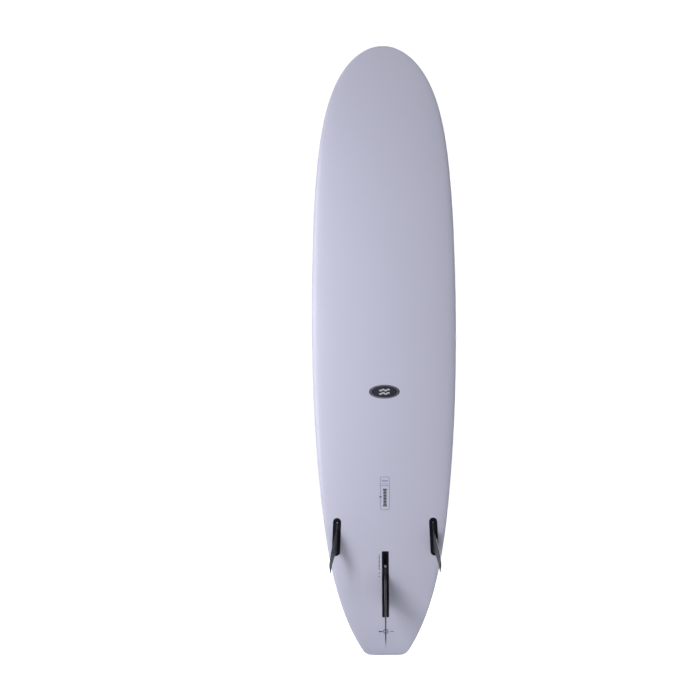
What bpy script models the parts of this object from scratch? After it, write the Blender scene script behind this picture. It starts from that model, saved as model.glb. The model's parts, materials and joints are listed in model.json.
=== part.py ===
"""An 8 ft longboard surfboard with a long centre fin box, two side fin boxes and a leash plug.

The board stands on its tail: +Z runs from the tail to the nose, the deck faces -Y, the bottom and the
fins face +Y, and X runs across the board. Lengths are in metres. Shapes are first laid out in the board's
own frame, whose origin is the tail end of the flat bottom's plane, and centre_on_floor then centres the
whole board on its box. Fin boxes and the plug are laid out in frames of their own: x across, y towards the
nose, z out of the surface.
"""

import math

import bmesh
import bpy
import numpy as np
from mathutils import Matrix, Vector

GAP = 0.0003

# Board outline
LENGTH = 2.438
HALF_WIDTH = 0.2828
WIDE_POINT = 1.309
NOSE_TAPER = 0.388
NOSE_ROUNDNESS = 5.6
NOSE_FULLNESS = 0.537
TAIL_TAPER = 0.404
TAIL_PULL = 0.3185
TAIL_SHARPNESS = 7
TAIL_CORNER = 0.036
TAIL_SQUARENESS = 5.5

# Board profile
THICKNESS = 0.074
THICK_POINT = 1.1
NOSE_THINNING = (0.0264, 0.0254)
TAIL_THINNING = (0.0365, 0.0096)
LOW_POINT = 1.05
NOSE_ROCKER = (0.0528, 0.0660)
TAIL_ROCKER = (0.0507, 0.0218)
EDGE_ROUND = 0.013

# Board section
APEX_FROM_BOTTOM = 0.40
DECK_CROWN = 2.5
BOTTOM_FLATNESS = 7.0
SKIN = 0.002
STRINGER = 0.004

# Loft density
END_ZONE = 0.30
END_STEPS = 10
END_CROWDING = 2.4
MIDDLE_STEPS = 14
HALF_SECTION_STEPS = 14
CORE_END_WIDTH = 0.030
SLOPE_STEP = 0.010

# Centre fin box
CENTRE_BOX_HEIGHT = 0.2920
CENTRE_BOX_HALF = (0.0135, 0.1335)
CENTRE_BOX_DEPTH = 0.026
CENTRE_BOX_CORNER = 0.003
SLOT_HALF = (0.0049, 0.125)
SLOT_CORNER = 0.003
SLOT_DEPTH = 0.020
GROOVE_HALF = (0.0076, 0.122)
GROOVE_TOP = -0.008
GROOVE_FLOOR = -0.013
NOTCH_CENTRE = -0.045
NOTCH_HALF_LENGTH = 0.007
CENTRE_INSERT_HALF = (0.030, 0.145)
CENTRE_INSERT_DEPTH = 0.033

# Centre fin
CENTRE_FIN_BASE = (-0.078, 0.062)
CENTRE_FIN_BASE_DEPTH = 0.017
CENTRE_FIN_BASE_TOP = -0.0006
CENTRE_FIN_BASE_HALF = 0.00455
CENTRE_FIN_ROOT = 0.0092
TAB_FRONT = 0.080
TAB_TOP = -0.0052
TAB_BOTTOM = -0.0077
CENTRE_SCREW_Y = 0.072
CENTRE_SCREW_RADIUS = 0.0020
CENTRE_SCREW_HEAD_RADIUS = 0.0042
CENTRE_SCREW_HEAD_TOP = -0.0020
CENTRE_SCREW_END = -0.016
CENTRE_SCREW_POINT = 0.0012
RECESS_HALF = (0.00045, 0.0021)
RECESS_DEPTH = 0.0016
TAB_HOLE_RADIUS = 0.0024
PLATE_HALF = (0.0072, 0.0065)
PLATE_TOP = -0.00835
PLATE_THICKNESS = 0.0035
PIN_Y = -0.070
PIN_Z = -0.0105
PIN_RADIUS = 0.0021
PIN_HALF_LENGTH = 0.0072

# Side fin boxes
SIDE_BOX_HEIGHT = 0.482
SIDE_BOX_X = 0.1908
SIDE_BOX_TOE = math.radians(2.7)
SIDE_BOX_CANT = math.radians(6.0)
SIDE_BOX_HALF = (0.0158, 0.0752)
SIDE_BOX_DEPTH = 0.019
SIDE_SLOT_HALF_WIDTH = 0.0042
SIDE_SLOT_ENDS = (-0.0655, 0.0505)
SIDE_SLOT_DEPTH = 0.014
SIDE_INSERT_HALF = (0.021, 0.082)
SIDE_INSERT_DEPTH = 0.024
BOSS_RADIUS = 0.0056
BOSS_DEPTH = 0.0012

# Side fins and their screws
SIDE_TAB_ENDS = (-0.064, 0.0495)
SIDE_TAB_HALF = 0.0038
SIDE_TAB_DEPTH = 0.0127
SIDE_TAB_TOP = -0.0006
SIDE_FIN_ROOT = 0.0072
SIDE_FIN_LEAN = math.radians(4.0)
SIDE_SCREW_Y = 0.0578
SIDE_SCREW_Z = -0.0014
SIDE_SCREW_LEAN = math.radians(25.0)
SIDE_SCREW_RADIUS = 0.0025
SIDE_SCREW_LENGTH = 0.012
SIDE_SCREW_BEVEL = 0.0006
SOCKET_RADIUS = 0.0015
SOCKET_DEPTH = 0.0025

# Leash plug
PLUG_HEIGHT = 0.058
PLUG_FLANGE_RADIUS = 0.0153
PLUG_FLANGE_DEPTH = 0.0017
PLUG_PROUD = 0.0003
PLUG_BODY_RADIUS = 0.0126
PLUG_CUP_RADIUS = 0.0108
PLUG_CUP_DEPTH = 0.017
PLUG_WALL = 0.0018
PLUG_FLOOR_BEVEL = 0.003
PLUG_EDGE = 0.0009
PLUG_PIN_DEPTH = 0.006
PLUG_PIN_RADIUS = 0.00215
PLUG_PIN_HALF_LENGTH = 0.0122
PLUG_INSERT_RADIUS = 0.021
PLUG_INSERT_DEPTH = 0.023

# How far a cutter passes the surface it opens
OVERCUT = 0.010

# Fin outlines in their box's frame, as (y, z) anchors with the handles of the curves between them
CENTRE_FIN = {
    "front": (0.0440, 0.0),
    "front_handle": (0.0160, 0.0720),
    "top": (-0.1530, 0.1850),
    "top_handles": (0.0818, 0.0303),
    "back": (-0.1950, 0.1652),
    "back_handles": (0.0058, 0.0104),
    "heel": (-0.1750, 0.1496),
    "heel_handles": ((-0.0070, 0.0041), (0.0686, -0.0238)),
    "rear": (-0.0815, 0.0),
    "rear_handle": (-0.0680, 0.0600),
}
SIDE_FIN = {
    "front": (0.0312, 0.0),
    "front_handle": (0.0010, 0.0620),
    "top": (-0.0934, 0.1108),
    "top_handles": (0.0443, 0.0177),
    "back": (-0.1182, 0.0983),
    "back_handles": (0.0028, 0.0030),
    "heel": (-0.1111, 0.0907),
    "heel_handles": ((-0.0020, 0.0034), (0.0265, -0.0158)),
    "rear": (-0.0635, 0.0),
    "rear_handle": (-0.0580, 0.0344),
}
FIN_ROWS = 14
LAST_ROW_SHORT = 0.35
FOIL_STEPS = 8
FIN_TIP_THICKNESS = 0.0042
FIN_TAPER = 0.7
FIN_FATTEST = 0.26
FIN_EDGE = 0.0004
FIN_SUNK = 0.004

# Colours: linear red, green and blue, then roughness and metallic
LOOKS = {
    "gloss_laminate": ((0.44, 0.45, 0.55), 0.28, 0.0),
    "eps_foam": ((0.86, 0.87, 0.88), 0.90, 0.0),
    "stringer_wood": ((0.56, 0.38, 0.20), 0.60, 0.0),
    "insert_foam": ((0.62, 0.55, 0.36), 0.85, 0.0),
    "box_plastic": ((0.012, 0.013, 0.022), 0.45, 0.0),
    "fin_composite": ((0.018, 0.019, 0.030), 0.35, 0.0),
    "stainless": ((0.62, 0.62, 0.63), 0.30, 1.0),
    "brass": ((0.72, 0.52, 0.22), 0.35, 1.0),
}


# ---------------------------------------------------------------- scene helpers


def clear_scene():
    for obj in list(bpy.data.objects):
        bpy.data.objects.remove(obj, do_unlink=True)


def material(name):
    found = bpy.data.materials.get(name)
    if found:
        return found
    colour, roughness, metallic = LOOKS[name]
    made = bpy.data.materials.new(name)
    made.use_nodes = True
    shader = made.node_tree.nodes["Principled BSDF"]
    shader.inputs["Base Color"].default_value = (*colour, 1.0)
    shader.inputs["Roughness"].default_value = roughness
    shader.inputs["Metallic"].default_value = metallic
    return made


def add_empty(name, parent=None, matrix=None):
    empty = bpy.data.objects.new(name, None)
    bpy.context.scene.collection.objects.link(empty)
    empty.parent = parent
    empty.matrix_local = matrix or Matrix.Identity(4)
    return empty


def add_object(name, bm, parent, look=None):
    """Turns a bmesh into an object; without a look it is a cutter or a guide."""
    bmesh.ops.recalc_face_normals(bm, faces=bm.faces)
    mesh = bpy.data.meshes.new(name)
    bm.to_mesh(mesh)
    bm.free()
    mesh.shade_smooth()
    mesh.set_sharp_from_angle(angle=math.radians(35.0))
    obj = bpy.data.objects.new(name, mesh)
    bpy.context.scene.collection.objects.link(obj)
    obj.parent = parent
    if look:
        mesh.materials.append(material(look))
    else:
        obj.hide_render = True
        obj.display_type = "WIRE"
    return obj


def combine(target, operation, *others):
    for other in others:
        step = target.modifiers.new(other.name, "BOOLEAN")
        step.operation = operation
        step.solver = "EXACT"
        step.object = other


def cut(target, *cutters):
    combine(target, "DIFFERENCE", *cutters)


# ---------------------------------------------------------------- simple solids


def loft(bm, rings):
    """Joins closed rings of the same number of points and caps both ends."""
    verts = [[bm.verts.new(p) for p in ring] for ring in rings]
    for lower, upper in zip(verts, verts[1:]):
        for k in range(len(lower)):
            n = (k + 1) % len(lower)
            bm.faces.new((lower[k], lower[n], upper[n], upper[k]))
    bm.faces.new(verts[0])
    bm.faces.new(verts[-1])


def prism(outline, low, high):
    """A closed upright prism on an outline of (x, y) points."""
    bm = bmesh.new()
    loft(bm, [[(x, y, z) for x, y in outline] for z in (low, high)])
    return bm


def rectangle(half_x, low_y, high_y):
    return [(-half_x, low_y), (half_x, low_y), (half_x, high_y), (-half_x, high_y)]


def rounded(half_x, half_y, radius, steps=6):
    """A rectangle about the origin with round corners."""
    points = []
    for quarter, (sx, sy) in enumerate(((1, 1), (-1, 1), (-1, -1), (1, -1))):
        for k in range(steps + 1):
            angle = math.pi / 2 * (quarter + k / steps)
            x = sx * (half_x - radius) + radius * math.cos(angle)
            y = sy * (half_y - radius) + radius * math.sin(angle)
            points.append((x, y))
    if radius >= half_x:
        points = [p for k, p in enumerate(points) if math.dist(p, points[k - 1]) > 1e-7]
    return points


def circle(radius, steps, centre=(0.0, 0.0)):
    return [
        (
            centre[0] + radius * math.cos(math.tau * k / steps),
            centre[1] + radius * math.sin(math.tau * k / steps),
        )
        for k in range(steps)
    ]


def rod(radius, low, high, steps=20):
    """A cylinder along z."""
    return prism(circle(radius, steps), low, high)


def turned(profile, steps=32):
    """A solid turned about z from a closed profile of (radius, z) points, the first and last on the axis."""
    bm = bmesh.new()
    rings = []
    for radius, z in profile[1:-1]:
        rings.append([bm.verts.new((x, y, z)) for x, y in circle(radius, steps)])
    ends = [bm.verts.new((0.0, 0.0, z)) for _, z in (profile[0], profile[-1])]
    for lower, upper in zip(rings, rings[1:]):
        for k in range(steps):
            n = (k + 1) % steps
            bm.faces.new((lower[k], lower[n], upper[n], upper[k]))
    for end, ring in zip(ends, (rings[0], rings[-1])):
        for k in range(steps):
            bm.faces.new((end, ring[k], ring[(k + 1) % steps]))
    return bm


# ---------------------------------------------------------------- the board's shape


def swell(u, amounts, power=6):
    broad, sharp = amounts
    return broad * u**2 + sharp * u**power


def half_width(z):
    """Half the board's width at a height z above the tail."""
    if z >= WIDE_POINT:
        u = (z - WIDE_POINT) / (LENGTH - WIDE_POINT)
        left = 1.0 - NOSE_TAPER * u**2 - (1.0 - NOSE_TAPER) * u**NOSE_ROUNDNESS
        return HALF_WIDTH * max(left, 0.0) ** NOSE_FULLNESS
    u = (WIDE_POINT - z) / WIDE_POINT
    width = HALF_WIDTH * (1.0 - swell(u, (TAIL_TAPER, TAIL_PULL), TAIL_SHARPNESS))
    return width * quarter_round(z / TAIL_CORNER, TAIL_SQUARENESS)


def quarter_round(t, power=2.0):
    """Rises from 0 to 1 as t does, along a quarter of an ellipse, or a squarer curve for a higher power."""
    return max(1.0 - (1.0 - min(t, 1.0)) ** power, 0.0) ** (1.0 / power)


def thickness(z):
    if z >= THICK_POINT:
        return THICKNESS - swell((z - THICK_POINT) / (LENGTH - THICK_POINT), NOSE_THINNING)
    return THICKNESS - swell((THICK_POINT - z) / THICK_POINT, TAIL_THINNING)


def bottom(z):
    """The y of the bottom at the centre line: 0 at its low point, negative towards both ends."""
    if z >= LOW_POINT:
        return -swell((z - LOW_POINT) / (LENGTH - LOW_POINT), NOSE_ROCKER)
    return -swell((LOW_POINT - z) / LOW_POINT, TAIL_ROCKER)


def apex(z):
    """The y of the rail's widest point."""
    return bottom(z) - APEX_FROM_BOTTOM * thickness(z)


def half_height(z, inset, deck):
    """The height from the apex to the deck or to the bottom, less the inset, rounded off at both ends."""
    share = 1.0 - APEX_FROM_BOTTOM if deck else APEX_FROM_BOTTOM
    ends = quarter_round(z / EDGE_ROUND) * quarter_round((LENGTH - z) / EDGE_ROUND)
    return (share * thickness(z) - inset) * ends


def half_section(z, inset, deck, seam=0.0):
    """Points across one face of the board, from the left rail to the right, at the station z."""
    width = half_width(z) * (1.0 - inset / HALF_WIDTH)
    height = max(half_height(z, inset, deck) - seam, 0.0)
    power = 2.0 / (DECK_CROWN if deck else BOTTOM_FLATNESS)
    side = -1.0 if deck else 1.0
    along = inset + (LENGTH - 2.0 * inset) * z / LENGTH
    points = []
    for k in range(HALF_SECTION_STEPS + 1):
        angle = math.pi * k / HALF_SECTION_STEPS
        across, rise = -math.cos(angle), max(math.sin(angle), 0.0)
        x = width * math.copysign(abs(across) ** power, across)
        y = apex(z) + side * (seam + height * rise**power)
        points.append(Vector((x, y, along)))
    return points


def stations():
    """Heights of the loft's sections: close together at both ends, where the outline turns quickly."""
    ends = [END_ZONE * (k / END_STEPS) ** END_CROWDING for k in range(END_STEPS + 1)]
    span = LENGTH - 2.0 * END_ZONE
    middle = [END_ZONE + span * k / MIDDLE_STEPS for k in range(1, MIDDLE_STEPS)]
    return ends + middle + [LENGTH - z for z in reversed(ends)]


def hull(inset=0.0):
    """The board as one closed solid, set in from its surface by the inset."""
    bm = bmesh.new()
    rings = []
    for z in stations()[1:-1]:
        deck = half_section(z, inset, deck=True)
        base = half_section(z, inset, deck=False)
        rings.append([bm.verts.new(p) for p in deck + base[-2:0:-1]])
    for lower, upper in zip(rings, rings[1:]):
        for k in range(len(lower)):
            n = (k + 1) % len(lower)
            bm.faces.new((lower[k], lower[n], upper[n], upper[k]))
    for z, ring in ((0.0, rings[0]), (LENGTH, rings[-1])):
        pole = bm.verts.new(half_section(z, inset, deck=True)[0])
        for k in range(len(ring)):
            bm.faces.new((pole, ring[k], ring[(k + 1) % len(ring)]))
    return bm


def sheet_verts(bm, inset, deck):
    """Rows of vertices over one face of the board, which start and end with the single points of its ends."""
    rows = []
    for z in stations():
        points = half_section(z, inset, deck, seam=GAP / 2.0)
        pole = z in (0.0, LENGTH)
        rows.append([bm.verts.new(points[0])] if pole else [bm.verts.new(p) for p in points])
    return rows


def sheet_faces(bm, rows):
    last = HALF_SECTION_STEPS
    for k in range(last):
        bm.faces.new((rows[0][0], rows[1][k], rows[1][k + 1]))
        bm.faces.new((rows[-1][0], rows[-2][k], rows[-2][k + 1]))
        for lower, upper in zip(rows[1:-1], rows[2:-1]):
            bm.faces.new((lower[k], lower[k + 1], upper[k + 1], upper[k]))


def shell(deck):
    """A thin laminate over the deck or the bottom, which ends at the seam along the rails."""
    bm = bmesh.new()
    outer = sheet_verts(bm, 0.0, deck)
    inner = sheet_verts(bm, SKIN, deck)
    sheet_faces(bm, outer)
    sheet_faces(bm, inner)
    for edge in (0, -1):
        for k in range(len(outer) - 1):
            bm.faces.new((outer[k][edge], outer[k + 1][edge], inner[k + 1][edge], inner[k][edge]))
    return bm


def core_half(side):
    """The foam on one side of the stringer."""
    inset = SKIN + GAP
    inner_x = STRINGER / 2.0 + GAP
    rings = []
    for z in stations():
        deck = half_section(z, inset, deck=True)
        if deck[-1].x < CORE_END_WIDTH:
            continue
        base = half_section(z, inset, deck=False)
        middle = HALF_SECTION_STEPS // 2
        ring = deck[middle:] + base[-2 : middle - 1 : -1]
        for point in (ring[0], ring[-1]):
            point.x = inner_x
        rings.append([(side * p.x, p.y, p.z) for p in ring])
    bm = bmesh.new()
    loft(bm, rings)
    return bm


def stringer_plank():
    """The wooden centre strip, from deck to bottom."""
    inset = SKIN + GAP
    middle = HALF_SECTION_STEPS // 2
    deck_side, base_side = [], []
    for z in stations()[2:-2]:
        deck_side.append(half_section(z, inset, deck=True)[middle])
        base_side.append(half_section(z, inset, deck=False)[middle])
    outline = deck_side + base_side[::-1]
    bm = bmesh.new()
    loft(bm, [[(x, p.y, p.z) for p in outline] for x in (-STRINGER / 2.0, STRINGER / 2.0)])
    return bm


def surface_frame(z, x=0.0, deck=False, toe=0.0, cant=0.0):
    """The frame of a fitting: its origin on the surface, y towards the nose and z out of the board."""
    width = half_width(z)
    rise = half_height(z, 0.0, deck)
    power = DECK_CROWN if deck else BOTTOM_FLATNESS
    side = -1.0 if deck else 1.0
    y = apex(z) + side * rise * (1.0 - (abs(x) / width) ** power) ** (1.0 / power)
    below, above = (
        bottom(h) - thickness(h) if deck else bottom(h) for h in (z - SLOPE_STEP, z + SLOPE_STEP)
    )
    slope = math.atan2(above - below, 2.0 * SLOPE_STEP)
    if deck:
        axes = Matrix.Rotation(math.pi / 2.0, 4, "X")
    else:
        axes = Matrix.Rotation(-math.pi / 2.0, 4, "X") @ Matrix.Rotation(math.pi, 4, "Z")
    tilt = Matrix.Rotation(-slope, 4, "X")
    turn = Matrix.Rotation(toe, 4, "Y")
    lean = Matrix.Rotation(cant, 4, "Z")
    return Matrix.Translation((x, y, z)) @ tilt @ turn @ lean @ axes


# ---------------------------------------------------------------- fins


def bezier(start, start_handle, end_handle, end, steps=16):
    t = np.linspace(0.0, 1.0, steps)[:, None]
    points = np.array((start, start_handle, end_handle, end))
    weights = np.hstack(((1 - t) ** 3, 3 * (1 - t) ** 2 * t, 3 * (1 - t) * t**2, t**3))
    return weights @ points


def fin_edges(fin):
    """The leading and the trailing edge as (y, z) points, both from the root to the top."""
    top, back, heel = (np.array(fin[k]) for k in ("top", "back", "heel"))
    top_front, top_back = fin["top_handles"]
    back_up, back_down = fin["back_handles"]
    heel_back, heel_front = (heel + np.array(h) for h in fin["heel_handles"])
    leading = bezier(fin["front"], fin["front_handle"], top + (top_front, 0.0), top)
    trailing = np.vstack(
        (
            bezier(fin["rear"], fin["rear_handle"], heel_front, heel),
            bezier(heel, heel_back, back - (0.0, back_down), back)[1:],
            bezier(back, back + (0.0, back_up), top - (top_back, 0.0), top)[1:],
        )
    )
    return leading, trailing


def foil(s):
    """Half the thickness of a fin section at the share s of its chord, as a share of the full thickness."""
    terms = (0.2969 * math.sqrt(s), -0.1260 * s, -0.3516 * s**2, 0.2843 * s**3, -0.1036 * s**4)
    return 5.0 * sum(terms)


def blade(fin, root, flat_side=0):
    """A foiled blade: symmetric, or flat on the side of its +x (1) or -x (-1) and leaning away from it."""
    leading, trailing = fin_edges(fin)
    depth = fin["top"][1]
    rings = []
    for row in range(-1, FIN_ROWS + 1):
        share = max(math.sin(math.pi / 2.0 * row / (FIN_ROWS + LAST_ROW_SHORT)), 0.0)
        front = np.interp(depth * share, leading[:, 1], leading[:, 0])
        rear = np.interp(depth * share, trailing[:, 1], trailing[:, 0])
        full = FIN_TIP_THICKNESS + (root - FIN_TIP_THICKNESS) * (1.0 - share) ** FIN_TAPER
        full = min(full, FIN_FATTEST * (front - rear))
        height = depth * share if row >= 0 else -FIN_SUNK
        section = fin_section(front, rear, full, flat_side, root / 2.0)
        lean = -flat_side * math.tan(SIDE_FIN_LEAN) * depth * share
        rings.append([(x + lean, y, height) for x, y in section])
    bm = bmesh.new()
    loft(bm, rings)
    return bm


def fin_section(front, rear, full, flat_side, flat_x):
    """A blade's section as (x, y) points, down one face and back up the other."""
    near, far = [], []
    for k in range(FOIL_STEPS + 1):
        s = 0.5 * (1.0 - math.cos(math.pi * k / FOIL_STEPS))
        half = max(full * foil(s), FIN_EDGE)
        y = front + (rear - front) * s
        near.append((flat_side * flat_x if flat_side else half, y))
        far.append((flat_side * (flat_x - 2.0 * half) if flat_side else -half, y))
    return near + far[::-1]


# ---------------------------------------------------------------- sub-assemblies


def build_board(board):
    """The core, the stringer and the two skins, with pockets for what is set into them."""
    parts = {
        "core_left": add_object("core_left", core_half(-1), board, "eps_foam"),
        "core_right": add_object("core_right", core_half(1), board, "eps_foam"),
        "stringer": add_object("stringer", stringer_plank(), board, "stringer_wood"),
        "deck_skin": add_object("deck_skin", shell(deck=True), board, "gloss_laminate"),
        "bottom_skin": add_object("bottom_skin", shell(deck=False), board, "gloss_laminate"),
    }
    parts["outer_hull"] = add_object("outer_hull", hull(), board)
    parts["inner_hull"] = add_object("inner_hull", hull(SKIN + GAP), board)
    return parts


def build_centre_box(board, parts):
    frame = add_empty("centre_box_frame", board, surface_frame(CENTRE_BOX_HEIGHT))
    half_x, half_y = CENTRE_BOX_HALF
    outline = rounded(half_x, half_y, CENTRE_BOX_CORNER, steps=3)
    box = add_object(
        "center_fin_box", prism(outline, -CENTRE_BOX_DEPTH, OVERCUT), frame, "box_plastic"
    )
    combine(box, "INTERSECT", parts["outer_hull"])
    slot = rounded(*SLOT_HALF, SLOT_CORNER, steps=3)
    groove = rectangle(GROOVE_HALF[0], -GROOVE_HALF[1], GROOVE_HALF[1])
    notch = rectangle(
        GROOVE_HALF[0], NOTCH_CENTRE - NOTCH_HALF_LENGTH, NOTCH_CENTRE + NOTCH_HALF_LENGTH
    )
    middle = (GROOVE_TOP + GROOVE_FLOOR) / 2.0
    cut(
        box,
        add_object("centre_slot_cutter", prism(slot, -SLOT_DEPTH, OVERCUT), frame),
        add_object("centre_groove_cutter", prism(groove, GROOVE_FLOOR, GROOVE_TOP), frame),
        add_object("centre_notch_cutter", prism(notch, middle, OVERCUT), frame),
    )

    pocket = rounded(half_x + GAP, half_y + GAP, CENTRE_BOX_CORNER, steps=3)
    pocket = add_object(
        "centre_box_pocket", prism(pocket, -CENTRE_BOX_DEPTH - GAP, OVERCUT), frame
    )
    half_x, half_y = CENTRE_INSERT_HALF
    block = rectangle(half_x, -half_y, half_y)
    insert = add_object(
        "center_box_insert", prism(block, -CENTRE_INSERT_DEPTH, OVERCUT), frame, "insert_foam"
    )
    combine(insert, "INTERSECT", parts["inner_hull"])
    cut(insert, pocket)
    block = rectangle(half_x + GAP, -half_y - GAP, half_y + GAP)
    block = add_object(
        "centre_insert_pocket", prism(block, -CENTRE_INSERT_DEPTH - GAP, OVERCUT), frame
    )
    cut(parts["bottom_skin"], pocket)
    for name in ("core_left", "core_right", "stringer"):
        cut(parts[name], block)
    return frame


def build_centre_fin(frame):
    """The fin with its rear pin, and the plate and screw that clamp its front tab."""
    slide = add_empty("center_fin_slide", frame)
    fin = add_object(
        "center_fin", blade(CENTRE_FIN, CENTRE_FIN_ROOT), slide, "fin_composite"
    )
    base = rectangle(CENTRE_FIN_BASE_HALF, *CENTRE_FIN_BASE)
    tab = rectangle(CENTRE_FIN_BASE_HALF, CENTRE_FIN_BASE[1] - OVERCUT, TAB_FRONT)
    combine(
        fin,
        "UNION",
        add_object("fin_base", prism(base, -CENTRE_FIN_BASE_DEPTH, CENTRE_FIN_BASE_TOP), slide),
        add_object("fin_tab", prism(tab, TAB_BOTTOM, TAB_TOP), slide),
    )
    screw_axis = Matrix.Translation((0.0, CENTRE_SCREW_Y, 0.0))
    across = Matrix.Translation((0.0, PIN_Y, PIN_Z)) @ Matrix.Rotation(math.pi / 2.0, 4, "Y")

    turn = add_empty("center_screw_turn", slide, screw_axis)
    tab_hole = rod(TAB_HOLE_RADIUS, TAB_BOTTOM - OVERCUT, TAB_TOP + OVERCUT)
    tab_hole = add_object("tab_hole_cutter", tab_hole, turn)
    pin_line = add_empty("center_pin_line", slide, across)
    pin_hole = rod(PIN_RADIUS + GAP, -OVERCUT, OVERCUT)
    pin_hole = add_object("pin_hole_cutter", pin_hole, pin_line)
    cut(fin, tab_hole, pin_hole)

    pin = rod(PIN_RADIUS, -PIN_HALF_LENGTH, PIN_HALF_LENGTH)
    add_object("center_fin_pin", pin, pin_line, "brass")
    half_x, half_y = PLATE_HALF
    plate = rectangle(half_x, CENTRE_SCREW_Y - half_y, CENTRE_SCREW_Y + half_y)
    plate = add_object(
        "center_fin_plate", prism(plate, PLATE_TOP - PLATE_THICKNESS, PLATE_TOP), slide, "stainless"
    )
    cut(plate, tab_hole)
    build_centre_screw(turn)


def build_centre_screw(turn):
    """A pan head screw with a cross recess, along z below its head."""
    seat = TAB_TOP + GAP
    head, shank, top = CENTRE_SCREW_HEAD_RADIUS, CENTRE_SCREW_RADIUS, CENTRE_SCREW_HEAD_TOP
    crown = [
        (head * math.cos(angle), seat + (top - seat) * (0.5 + 0.5 * math.sin(angle)))
        for angle in (0.0, math.pi / 6.0, math.pi / 3.0)
    ]
    profile = [
        (0.0, CENTRE_SCREW_END),
        (shank - CENTRE_SCREW_POINT, CENTRE_SCREW_END),
        (shank, CENTRE_SCREW_END + CENTRE_SCREW_POINT),
        (shank, seat),
        (head, seat),
        *crown,
        (0.0, top),
    ]
    screw = add_object("center_fin_screw", turned(profile, steps=24), turn, "stainless")
    half_x, half_y = RECESS_HALF
    for k in range(2):
        arm = prism(rectangle(half_x, -half_y, half_y), top - RECESS_DEPTH, OVERCUT)
        arm = add_object(f"cross_recess_{k}", arm, turn)
        arm.matrix_local = Matrix.Rotation(k * math.pi / 2.0, 4, "Z")
        cut(screw, arm)


def screw_line():
    """The line of a side fin's screw in its box's frame: z points out of the hole."""
    place = Matrix.Translation((0.0, SIDE_SCREW_Y, SIDE_SCREW_Z))
    return place @ Matrix.Rotation(-SIDE_SCREW_LEAN, 4, "X")


def build_side_box(board, parts, name, side):
    frame = add_empty(
        f"{name}_box_frame",
        board,
        surface_frame(
            SIDE_BOX_HEIGHT, side * SIDE_BOX_X, toe=-side * SIDE_BOX_TOE, cant=-side * SIDE_BOX_CANT
        ),
    )
    half_x, half_y = SIDE_BOX_HALF
    box = prism(rounded(half_x, half_y, half_x), -SIDE_BOX_DEPTH, OVERCUT)
    box = add_object(f"{name}_fin_box", box, frame, "box_plastic")
    combine(box, "INTERSECT", parts["outer_hull"])
    slot = prism(rectangle(SIDE_SLOT_HALF_WIDTH, *SIDE_SLOT_ENDS), -SIDE_SLOT_DEPTH, OVERCUT)
    line = add_empty(f"{name}_screw_turn", frame, screw_line())
    hole = rod(SIDE_SCREW_RADIUS + GAP, -SIDE_SCREW_LENGTH - 2 * GAP, OVERCUT)
    boss = rod(BOSS_RADIUS, -BOSS_DEPTH, OVERCUT)
    boss_line = add_empty(f"{name}_boss_line", frame, Matrix.Translation((0.0, SIDE_SCREW_Y, 0.0)))
    cut(
        box,
        add_object(f"{name}_slot_cutter", slot, frame),
        add_object(f"{name}_screw_cutter", hole, line),
        add_object(f"{name}_boss_cutter", boss, boss_line),
    )

    pocket = prism(
        rounded(half_x + GAP, half_y + GAP, half_x + GAP), -SIDE_BOX_DEPTH - GAP, OVERCUT
    )
    pocket = add_object(f"{name}_box_pocket", pocket, frame)
    half_x, half_y = SIDE_INSERT_HALF
    block = prism(rectangle(half_x, -half_y, half_y), -SIDE_INSERT_DEPTH, OVERCUT)
    insert = add_object(f"{name}_box_insert", block, frame, "insert_foam")
    combine(insert, "INTERSECT", parts["inner_hull"])
    cut(insert, pocket)
    block = prism(
        rectangle(half_x + GAP, -half_y - GAP, half_y + GAP), -SIDE_INSERT_DEPTH - GAP, OVERCUT
    )
    block = add_object(f"{name}_insert_pocket", block, frame)
    cut(parts["bottom_skin"], pocket)
    cut(parts["core_left" if side < 0 else "core_right"], block)

    build_side_screw(name, line)
    build_side_fin(name, side, frame)


def build_side_screw(name, line):
    """A socket set screw, along z below its upper end."""
    radius = SIDE_SCREW_RADIUS
    profile = [
        (0.0, -SIDE_SCREW_LENGTH),
        (radius - SIDE_SCREW_BEVEL, -SIDE_SCREW_LENGTH),
        (radius, -SIDE_SCREW_LENGTH + SIDE_SCREW_BEVEL),
        (radius, -SIDE_SCREW_BEVEL),
        (radius - SIDE_SCREW_BEVEL, 0.0),
        (0.0, 0.0),
    ]
    screw = add_object(f"{name}_fin_screw", turned(profile, steps=24), line, "stainless")
    socket = add_object(
        f"{name}_socket_cutter", prism(circle(SOCKET_RADIUS, 6), -SOCKET_DEPTH, OVERCUT), line
    )
    cut(screw, socket)


def build_side_fin(name, side, frame):
    """A fin with a flat inner face; its frame's x points towards the board's -X."""
    lift = add_empty(f"{name}_fin_lift", frame)
    fin = blade(SIDE_FIN, SIDE_FIN_ROOT, flat_side=side)
    fin = add_object(f"{name}_fin", fin, lift, "fin_composite")
    tab = prism(rectangle(SIDE_TAB_HALF, *SIDE_TAB_ENDS), -SIDE_TAB_DEPTH, SIDE_TAB_TOP)
    combine(fin, "UNION", add_object(f"{name}_tab", tab, lift))


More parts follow.
